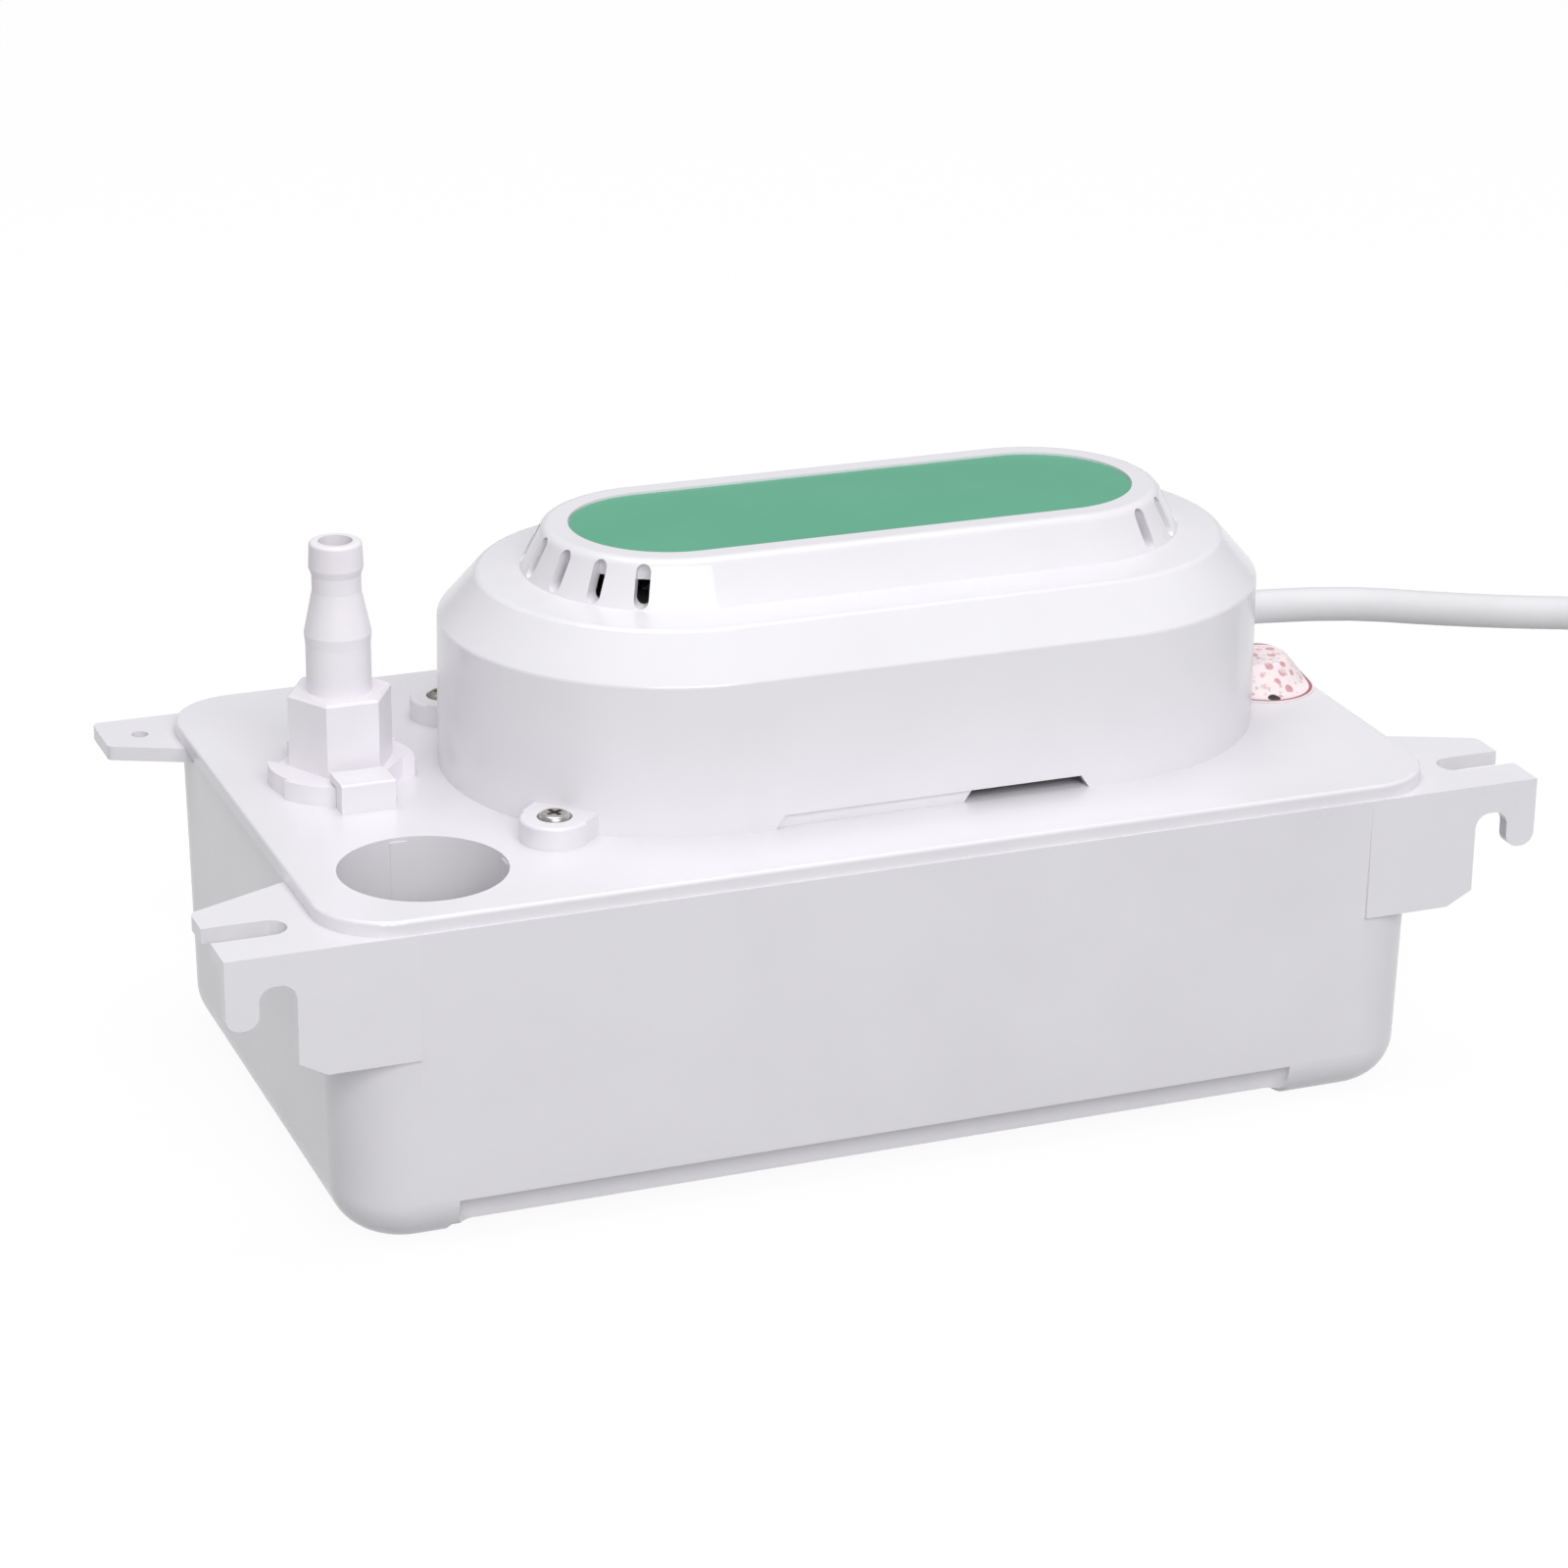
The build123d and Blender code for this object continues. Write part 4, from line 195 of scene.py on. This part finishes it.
def noise(tree, scale, detail=3.0, roughness=0.5, vector=None):
    """Noise over the object's own space; the scale may be a socket."""
    node = add_node(tree, "ShaderNodeTexNoise")
    node.inputs["Detail"].default_value = detail
    node.inputs["Roughness"].default_value = roughness
    if isinstance(scale, (int, float)):
        node.inputs["Scale"].default_value = scale
    else:
        tree.links.new(scale, node.inputs["Scale"])
    if vector is None:
        vector = add_node(tree, "ShaderNodeTexCoord").outputs["Object"]
    tree.links.new(vector, node.inputs["Vector"])
    return node.outputs["Fac"]


def between(tree, value, low, high, out_low=0.0, out_high=1.0):
    """Map a value from one range onto another, and hold it inside."""
    node = add_node(tree, "ShaderNodeMapRange")
    node.inputs["From Min"].default_value = low
    node.inputs["From Max"].default_value = high
    node.inputs["To Min"].default_value = out_low
    node.inputs["To Max"].default_value = out_high
    tree.links.new(value, node.inputs["Value"])
    return node.outputs["Result"]


def blend_colours(tree, share, first, second):
    """Mix two colours; each may be a colour or a socket."""
    node = add_node(tree, "ShaderNodeMix", data_type="RGBA")
    tree.links.new(share, node.inputs["Factor"])
    for socket, value in zip((node.inputs[MIX_FIRST], node.inputs[MIX_SECOND]), (first, second)):
        if isinstance(value, tuple):
            socket.default_value = (*value, 1.0)
        else:
            tree.links.new(value, socket)
    return node.outputs[MIX_RESULT]


def make_moulded_group():
    """Moulded plastic: slow clouding, fine flow grain and a faint orange peel."""
    group, given, result = new_group(
        "Moulded plastic",
        [("Colour", "colour", (0.8, 0.8, 0.8, 1.0)),
         ("Cloud Colour", "colour", (0.7, 0.7, 0.7, 1.0)),
         ("Cloud Scale", "value", 45.0), ("Peel Scale", "value", 700.0),
         ("Roughness", "value", 0.3), ("Uneven", "value", 0.1)],
        [("Colour", "colour"), ("Roughness", "value"), ("Height", "value")])
    cloud = noise(group, given.outputs["Cloud Scale"], 4.0)
    share = between(group, cloud, 0.35, 0.75)
    colour = blend_colours(group, share, given.outputs["Colour"], given.outputs["Cloud Colour"])
    swing = maths(group, "MULTIPLY", maths(group, "SUBTRACT", cloud, 0.5), given.outputs["Uneven"])
    roughness = maths(group, "ADD", given.outputs["Roughness"], swing)
    peel = noise(group, given.outputs["Peel Scale"], 2.0)
    slow = noise(group, 28.0, 1.0)
    height = maths(group, "ADD", maths(group, "MULTIPLY", peel, 0.35), slow)
    group.links.new(colour, result.inputs["Colour"])
    group.links.new(roughness, result.inputs["Roughness"])
    group.links.new(height, result.inputs["Height"])
    return group


def make_metal_group():
    """Worked metal: streaks along one direction, with dull and bright patches."""
    group, given, result = new_group(
        "Worked metal",
        [("Colour", "colour", (0.6, 0.6, 0.6, 1.0)),
         ("Tarnish Colour", "colour", (0.4, 0.4, 0.4, 1.0)),
         ("Streak Scale", "value", 300.0), ("Stretch", "value", 12.0),
         ("Roughness", "value", 0.3)],
        [("Colour", "colour"), ("Roughness", "value"), ("Height", "value")])
    place = add_node(group, "ShaderNodeTexCoord").outputs["Object"]
    scale = add_node(group, "ShaderNodeVectorMath", operation="MULTIPLY")
    group.links.new(place, scale.inputs[0])
    stretch = add_node(group, "ShaderNodeCombineXYZ")
    stretch.inputs["X"].default_value = 1.0
    stretch.inputs["Y"].default_value = 1.0
    group.links.new(given.outputs["Stretch"], stretch.inputs["Z"])
    group.links.new(stretch.outputs[0], scale.inputs[1])
    streak = noise(group, given.outputs["Streak Scale"], 3.0, vector=scale.outputs[0])
    patch = between(group, noise(group, 160.0, 5.0, 0.6), 0.42, 0.72)
    colour = blend_colours(group, patch, given.outputs["Colour"], given.outputs["Tarnish Colour"])
    uneven = maths(group, "MULTIPLY", maths(group, "ADD", streak, patch), 0.14)
    swing = maths(group, "SUBTRACT", uneven, 0.1)
    roughness = maths(group, "ADD", given.outputs["Roughness"], swing)
    group.links.new(colour, result.inputs["Colour"])
    group.links.new(roughness, result.inputs["Roughness"])
    group.links.new(streak, result.inputs["Height"])
    return group


# ---- materials ---------------------------------------------------------------
def new_material(name, metallic=0.0, roughness=0.4, coat=0.0):
    """A material with its shader's plain numbers set on the shader itself."""
    material = bpy.data.materials.new(name)
    material.use_nodes = True
    shader = material.node_tree.nodes["Principled BSDF"]
    shader.inputs["Metallic"].default_value = metallic
    shader.inputs["Roughness"].default_value = roughness
    if coat:
        shader.inputs["Coat Weight"].default_value = coat
        shader.inputs["Coat Roughness"].default_value = COAT_ROUGHNESS
    return material, material.node_tree, shader


def add_relief(tree, shader, height, depth):
    """Turn a height into small relief of the given depth in metres."""
    bump = add_node(tree, "ShaderNodeBump")
    bump.inputs["Strength"].default_value = 1.0
    bump.inputs["Distance"].default_value = depth
    tree.links.new(height, bump.inputs["Height"])
    tree.links.new(bump.outputs["Normal"], shader.inputs["Normal"])


def place_group(tree, group, values):
    """Use a shader group in a material, with the material's own values."""
    node = add_node(tree, "ShaderNodeGroup", node_tree=group)
    for label, value in values.items():
        node.inputs[label].default_value = (*value, 1.0) if isinstance(value, tuple) else value
    return node


def plastic(name, colour, cloud_colour, roughness, peel_scale=700.0, depth=0.00006,
            cloud_scale=45.0, uneven=0.12, coat=0.0):
    """A plain moulded plastic with its own colour, gloss and grain."""
    material, tree, shader = new_material(name, roughness=roughness, coat=coat)
    skin = place_group(tree, MOULDED, {
        "Colour": colour, "Cloud Colour": cloud_colour, "Cloud Scale": cloud_scale,
        "Peel Scale": peel_scale, "Roughness": roughness, "Uneven": uneven})
    tree.links.new(skin.outputs["Colour"], shader.inputs["Base Color"])
    tree.links.new(skin.outputs["Roughness"], shader.inputs["Roughness"])
    add_relief(tree, shader, skin.outputs["Height"], depth)
    return material


def metal(name, colour, tarnish, roughness, streak_scale=300.0, stretch=12.0, depth=0.00002):
    """A bare metal with its own colour, tarnish and working marks."""
    material, tree, shader = new_material(name, metallic=1.0, roughness=roughness)
    skin = place_group(tree, METAL, {
        "Colour": colour, "Tarnish Colour": tarnish, "Streak Scale": streak_scale,
        "Stretch": stretch, "Roughness": roughness})
    tree.links.new(skin.outputs["Colour"], shader.inputs["Base Color"])
    tree.links.new(skin.outputs["Roughness"], shader.inputs["Roughness"])
    add_relief(tree, shader, skin.outputs["Height"], depth)
    return material


def stacked_sheets():
    """Laminated steel: a fine line between one sheet and the next."""
    material, tree, shader = new_material("Laminated steel", metallic=1.0, roughness=0.5)
    skin = place_group(tree, METAL, {
        "Colour": (0.28, 0.27, 0.27), "Tarnish Colour": (0.17, 0.14, 0.12),
        "Streak Scale": 260.0, "Stretch": 3.0, "Roughness": 0.5})
    lines = add_node(tree, "ShaderNodeTexWave", bands_direction="Z")
    lines.inputs["Scale"].default_value = 315.0
    lines.inputs["Distortion"].default_value = 0.4
    place = add_node(tree, "ShaderNodeTexCoord")
    tree.links.new(place.outputs["Object"], lines.inputs["Vector"])
    dark = between(tree, lines.outputs["Fac"], 0.0, 0.35, 1.0, 0.0)
    colour = blend_colours(tree, dark, skin.outputs["Colour"], (0.06, 0.05, 0.05))
    tree.links.new(colour, shader.inputs["Base Color"])
    tree.links.new(skin.outputs["Roughness"], shader.inputs["Roughness"])
    add_relief(tree, shader, lines.outputs["Fac"], 0.00006)
    return material


def wound_wire():
    """Enamelled copper wire, laid turn beside turn along the bobbin, with painted shade in the
    grooves between turns.
    """
    material, tree, shader = new_material(
        "Enamelled copper wire", metallic=1.0, roughness=0.3, coat=0.6)
    lines = add_node(tree, "ShaderNodeTexWave", bands_direction="Y", wave_profile="SIN")
    lines.inputs["Scale"].default_value = 520.0
    lines.inputs["Distortion"].default_value = 0.8
    place = add_node(tree, "ShaderNodeTexCoord")
    tree.links.new(place.outputs["Object"], lines.inputs["Vector"])
    # Painted shade: the copper goes nearly black in the groove between one turn and the next.
    groove_shade = between(tree, lines.outputs["Fac"], 0.0, 0.6)
    patch = between(tree, noise(tree, 90.0, 3.0), 0.3, 0.7)
    bright = blend_colours(tree, patch, (0.62, 0.24, 0.09), (0.42, 0.13, 0.05))
    colour = blend_colours(tree, groove_shade, (0.08, 0.02, 0.01), bright)
    tree.links.new(colour, shader.inputs["Base Color"])
    add_relief(tree, shader, lines.outputs["Fac"], 0.00015)
    return material


def seal_marks(tree, place, scale, size, inside):
    """Small blots of print, strewn unevenly over the seal's face."""
    cells = add_node(tree, "ShaderNodeTexVoronoi", feature="F1")
    cells.inputs["Scale"].default_value = scale
    cells.inputs["Randomness"].default_value = 0.8
    tree.links.new(place, cells.inputs["Vector"])
    blots = between(tree, cells.outputs["Distance"], size, size + 0.12, 1.0, 0.0)
    sparse = between(tree, noise(tree, scale * 0.8, 2.0), 0.42, 0.52)
    return maths(tree, "MULTIPLY", maths(tree, "MULTIPLY", blots, sparse), inside)


def seal_paper():
    """A pale paper seal with a thin red rim, small red blots and one dark dot."""
    material, tree, shader = new_material("Printed seal paper", roughness=0.55)
    place = add_node(tree, "ShaderNodeTexCoord").outputs["Object"]
    parts = add_node(tree, "ShaderNodeSeparateXYZ")
    tree.links.new(place, parts.inputs[0])
    across = maths(tree, "SUBTRACT", parts.outputs["X"], SEAL_CENTRE[0])
    along = maths(tree, "SUBTRACT", parts.outputs["Y"], SEAL_CENTRE[1])
    square = maths(tree, "ADD", maths(tree, "MULTIPLY", across, across),
                   maths(tree, "MULTIPLY", along, along))
    reach = maths(tree, "SQRT", square)
    outer = between(tree, reach, SEAL_RADIUS - 0.00105, SEAL_RADIUS - 0.0009)
    inner = between(tree, reach, SEAL_RADIUS - 0.0004, SEAL_RADIUS - 0.00025, 1.0, 0.0)
    rim = maths(tree, "MULTIPLY", outer, inner)
    inside = between(tree, reach, SEAL_RADIUS - 0.0022, SEAL_RADIUS - 0.0018, 1.0, 0.0)
    blots = seal_marks(tree, place, 400.0, 0.30, inside)
    flecks = seal_marks(tree, place, 850.0, 0.26, inside)
    from_dot = add_node(tree, "ShaderNodeVectorMath", operation="DISTANCE")
    from_dot.inputs[1].default_value = SEAL_DOT
    tree.links.new(place, from_dot.inputs[0])
    dot = between(tree, from_dot.outputs["Value"],
                  SEAL_DOT_RADIUS, SEAL_DOT_RADIUS + 0.0002, 1.0, 0.0)
    paper = blend_colours(tree, noise(tree, 300.0, 3.0), (0.93, 0.85, 0.86), (0.88, 0.75, 0.77))
    fleck_share = maths(tree, "MULTIPLY", flecks, 0.5)
    flecked = blend_colours(tree, fleck_share, paper, (0.42, 0.40, 0.36))
    blot_share = maths(tree, "MULTIPLY", blots, 0.7)
    printed = blend_colours(tree, blot_share, flecked, (0.56, 0.17, 0.21))
    dotted = blend_colours(tree, dot, printed, (0.02, 0.012, 0.014))
    ringed = blend_colours(tree, maths(tree, "MULTIPLY", rim, 0.9), dotted, (0.30, 0.07, 0.08))
    tree.links.new(ringed, shader.inputs["Base Color"])
    add_relief(tree, shader, noise(tree, 900.0, 3.0), 0.00004)
    return material


def floor_surface():
    """A pale sweep that reads as plain white and keeps a soft shadow."""
    material, tree, shader = new_material("Pale studio floor", roughness=0.9)
    tone = blend_colours(tree, noise(tree, 3.0, 2.0), (0.33, 0.33, 0.335), (0.35, 0.35, 0.35))
    tree.links.new(tone, shader.inputs["Base Color"])
    shader.inputs["Specular IOR Level"].default_value = 0.0
    glow = add_node(tree, "ShaderNodeEmission")
    glow.inputs["Strength"].default_value = FLOOR_GLOW
    rays = add_node(tree, "ShaderNodeLightPath")
    reflected = maths(tree, "MAXIMUM", rays.outputs["Is Glossy Ray"],
                      rays.outputs["Is Transmission Ray"])
    seen = maths(tree, "MAXIMUM", rays.outputs["Is Camera Ray"], reflected)
    share = maths(tree, "MULTIPLY", seen, FLOOR_GLOW_SHARE)
    mixer = add_node(tree, "ShaderNodeMixShader")
    tree.links.new(share, mixer.inputs["Fac"])
    tree.links.new(shader.outputs["BSDF"], mixer.inputs[1])
    tree.links.new(glow.outputs["Emission"], mixer.inputs[2])
    output = tree.nodes["Material Output"]
    tree.links.new(mixer.outputs["Shader"], output.inputs["Surface"])
    return material


MOULDED = make_moulded_group()
METAL = make_metal_group()

FINISHES = {
    "White ABS": plastic("White ABS", (0.83, 0.817, 0.845), (0.80, 0.787, 0.816), 0.24,
                         depth=0.00005, coat=0.12),
    "Milky fitting": plastic("Milky fitting", (0.89, 0.862, 0.90), (0.84, 0.81, 0.85), 0.36,
                             depth=0.00008, cloud_scale=70.0),
    "Natural nylon": plastic("Natural nylon", (0.74, 0.71, 0.62), (0.66, 0.62, 0.52), 0.38),
    "Grey pump moulding": plastic("Grey pump moulding", (0.62, 0.62, 0.64), (0.54, 0.54, 0.56),
                                  0.4),
    "Float foam": plastic("Float foam", (0.86, 0.84, 0.76), (0.78, 0.75, 0.66), 0.85,
                          peel_scale=1400.0, depth=0.0003, uneven=0.05),
    "Black moulding": plastic("Black moulding", (0.016, 0.016, 0.018), (0.028, 0.028, 0.03), 0.42),
    "Red button": plastic("Red button", (0.48, 0.03, 0.02), (0.36, 0.02, 0.02), 0.35),
    "Green label film": plastic("Green label film", (0.082, 0.405, 0.243),
                                (0.074, 0.382, 0.228), 0.34,
                                peel_scale=420.0, depth=0.00003, coat=0.25),
    "Soft hose": plastic("Soft hose", (0.68, 0.70, 0.69), (0.60, 0.62, 0.60), 0.3, coat=0.3),
    "Black rubber": plastic("Black rubber", (0.02, 0.02, 0.021), (0.045, 0.044, 0.043), 0.7,
                            peel_scale=1500.0, depth=0.0001),
    "White cord sheath": plastic("White cord sheath", (0.80, 0.80, 0.815),
                                 (0.75, 0.75, 0.765), 0.42,
                                 peel_scale=950.0, depth=0.00006),
    "Screw steel": metal("Screw steel", (0.60, 0.585, 0.56), (0.36, 0.34, 0.31), 0.3),
    "Galvanised strap": metal("Galvanised strap", (0.55, 0.56, 0.58), (0.38, 0.39, 0.41), 0.42,
                              streak_scale=180.0, stretch=1.0),
    "Ground shaft steel": metal("Ground shaft steel", (0.66, 0.66, 0.67), (0.52, 0.52, 0.53), 0.2,
                                streak_scale=500.0, stretch=20.0),
    "Sintered bronze": metal("Sintered bronze", (0.48, 0.30, 0.12), (0.32, 0.19, 0.07), 0.5,
                             streak_scale=1200.0, stretch=1.0, depth=0.00006),
    "Copper ring": metal("Copper ring", (0.65, 0.28, 0.14), (0.40, 0.16, 0.08), 0.35),
    "Plug brass": metal("Plug brass", (0.72, 0.55, 0.26), (0.56, 0.40, 0.16), 0.28),
    "Laminated steel": stacked_sheets(),
    "Enamelled copper wire": wound_wire(),
    "Printed seal paper": seal_paper(),
}

PIECE_FINISH = {
    "tank": "White ABS",
    "lid": "White ABS",
    "motor_cover": "White ABS",
    "label": "Green label film",
    "seal_sticker": "Printed seal paper",
    "cover_screws": "Screw steel",
    "motor_stator": "Laminated steel",
    "shading_rings": "Copper ring",
    "coil_bobbin": "Natural nylon",
    "coil_winding": "Enamelled copper wire",
    "upper_bearing_bracket": "Galvanised strap",
    "lower_bearing_bracket": "Galvanised strap",
    "shaft_bearings": "Sintered bronze",
    "motor_screws": "Screw steel",
    "rotor": "Laminated steel",
    "motor_shaft": "Ground shaft steel",
    "cooling_fan": "Black moulding",
    "pump_column": "Grey pump moulding",
    "volute_body": "Grey pump moulding",
    "suction_cover": "Grey pump moulding",
    "volute_screws": "Ground shaft steel",
    "impeller": "Natural nylon",
    "riser_hose": "Soft hose",
    "valve_base": "Milky fitting",
    "outlet_barb": "Milky fitting",
    "valve_oring": "Black rubber",
    "valve_poppet": "Black rubber",
    "valve_spring": "Ground shaft steel",
    "float": "Float foam",
    "float_stem": "Natural nylon",
    "stem_collar": "Natural nylon",
    "switch_bracket": "Grey pump moulding",
    "bracket_screws": "Screw steel",
    "switch_lever": "Natural nylon",
    "lever_pin": "Ground shaft steel",
    "run_switch": "Black moulding",
    "alarm_switch": "Black moulding",
    "switch_pins": "Ground shaft steel",
    "run_button": "Red button",
    "alarm_button": "Red button",
    "terminal_block": "Natural nylon",
    "motor_leads": "White cord sheath",
    "cord_clamp": "Natural nylon",
    "cord_gland": "White cord sheath",
    "power_cord": "White cord sheath",
    "cord_coil": "White cord sheath",
    "cord_tie": "Black rubber",
    "cord_end": "White cord sheath",
    "plug_body": "White cord sheath",
    "plug_pins": "Plug brass",
}


def finish_piece(node, material):
    """Give every material slot of a node's object the same finish."""
    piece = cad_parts[node]
    if not piece.material_slots:
        piece.data.materials.append(material)
    for slot in piece.material_slots:
        slot.material = material


# ---- studio ------------------------------------------------------------------
def make_floor():
    """A large flat floor that the feet stand on."""
    mesh = bpy.data.meshes.new("studio_floor")
    corners = [(-FLOOR_REACH, -FLOOR_REACH, 0), (FLOOR_REACH, -FLOOR_REACH, 0),
               (FLOOR_REACH, 2 * FLOOR_REACH, 0), (-FLOOR_REACH, 2 * FLOOR_REACH, 0)]
    mesh.from_pydata(corners, [], [(0, 1, 2, 3)])
    floor = bpy.data.objects.new("studio_floor", mesh)
    bpy.context.collection.objects.link(floor)
    floor.data.materials.append(floor_surface())


def add_softbox(name, place, width, height, power):
    """A rectangular lamp that faces the pump."""
    light = bpy.data.lights.new(name, "AREA")
    light.shape = "RECTANGLE"
    light.size = width
    light.size_y = height
    light.energy = power
    lamp = bpy.data.objects.new(name, light)
    bpy.context.collection.objects.link(lamp)
    lamp.location = place
    facing = Vector(LAMP_AIM) - Vector(place)
    lamp.rotation_euler = facing.to_track_quat("-Z", "Y").to_euler()


def light_studio():
    """Two soft lamps, a dim surround, and a white backdrop for the camera alone."""
    add_softbox("front_softbox", (-0.20, -1.45, 1.05), width=1.3, height=1.0, power=16.6)
    add_softbox("top_softbox", (0.0, 0.1, 1.8), width=1.5, height=1.3, power=13.9)
    world = bpy.data.worlds.new("studio")
    bpy.context.scene.world = world
    world.use_nodes = True
    tree = world.node_tree
    surround = tree.nodes["Background"]
    surround.inputs["Color"].default_value = (0.97, 0.97, 1.0, 1.0)
    surround.inputs["Strength"].default_value = 0.45
    backdrop = add_node(tree, "ShaderNodeBackground")
    backdrop.inputs["Color"].default_value = (1.0, 1.0, 1.0, 1.0)
    backdrop.inputs["Strength"].default_value = 1.0
    rays = add_node(tree, "ShaderNodeLightPath")
    mixer = add_node(tree, "ShaderNodeMixShader")
    tree.links.new(rays.outputs["Is Camera Ray"], mixer.inputs["Fac"])
    tree.links.new(surround.outputs["Background"], mixer.inputs[1])
    tree.links.new(backdrop.outputs["Background"], mixer.inputs[2])
    tree.links.new(mixer.outputs["Shader"], tree.nodes["World Output"].inputs["Surface"])


# ---- putting it together -----------------------------------------------------
place_camera()

mains_cord = make_cord()
mains_cord.data.materials.append(FINISHES["White cord sheath"])
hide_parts("power_cord", "cord_coil", "cord_end")
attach(mains_cord, "head")

for node, finish in PIECE_FINISH.items():
    finish_piece(node, FINISHES[finish])

make_floor()
light_studio()
bpy.context.scene.view_settings.view_transform = "Standard"
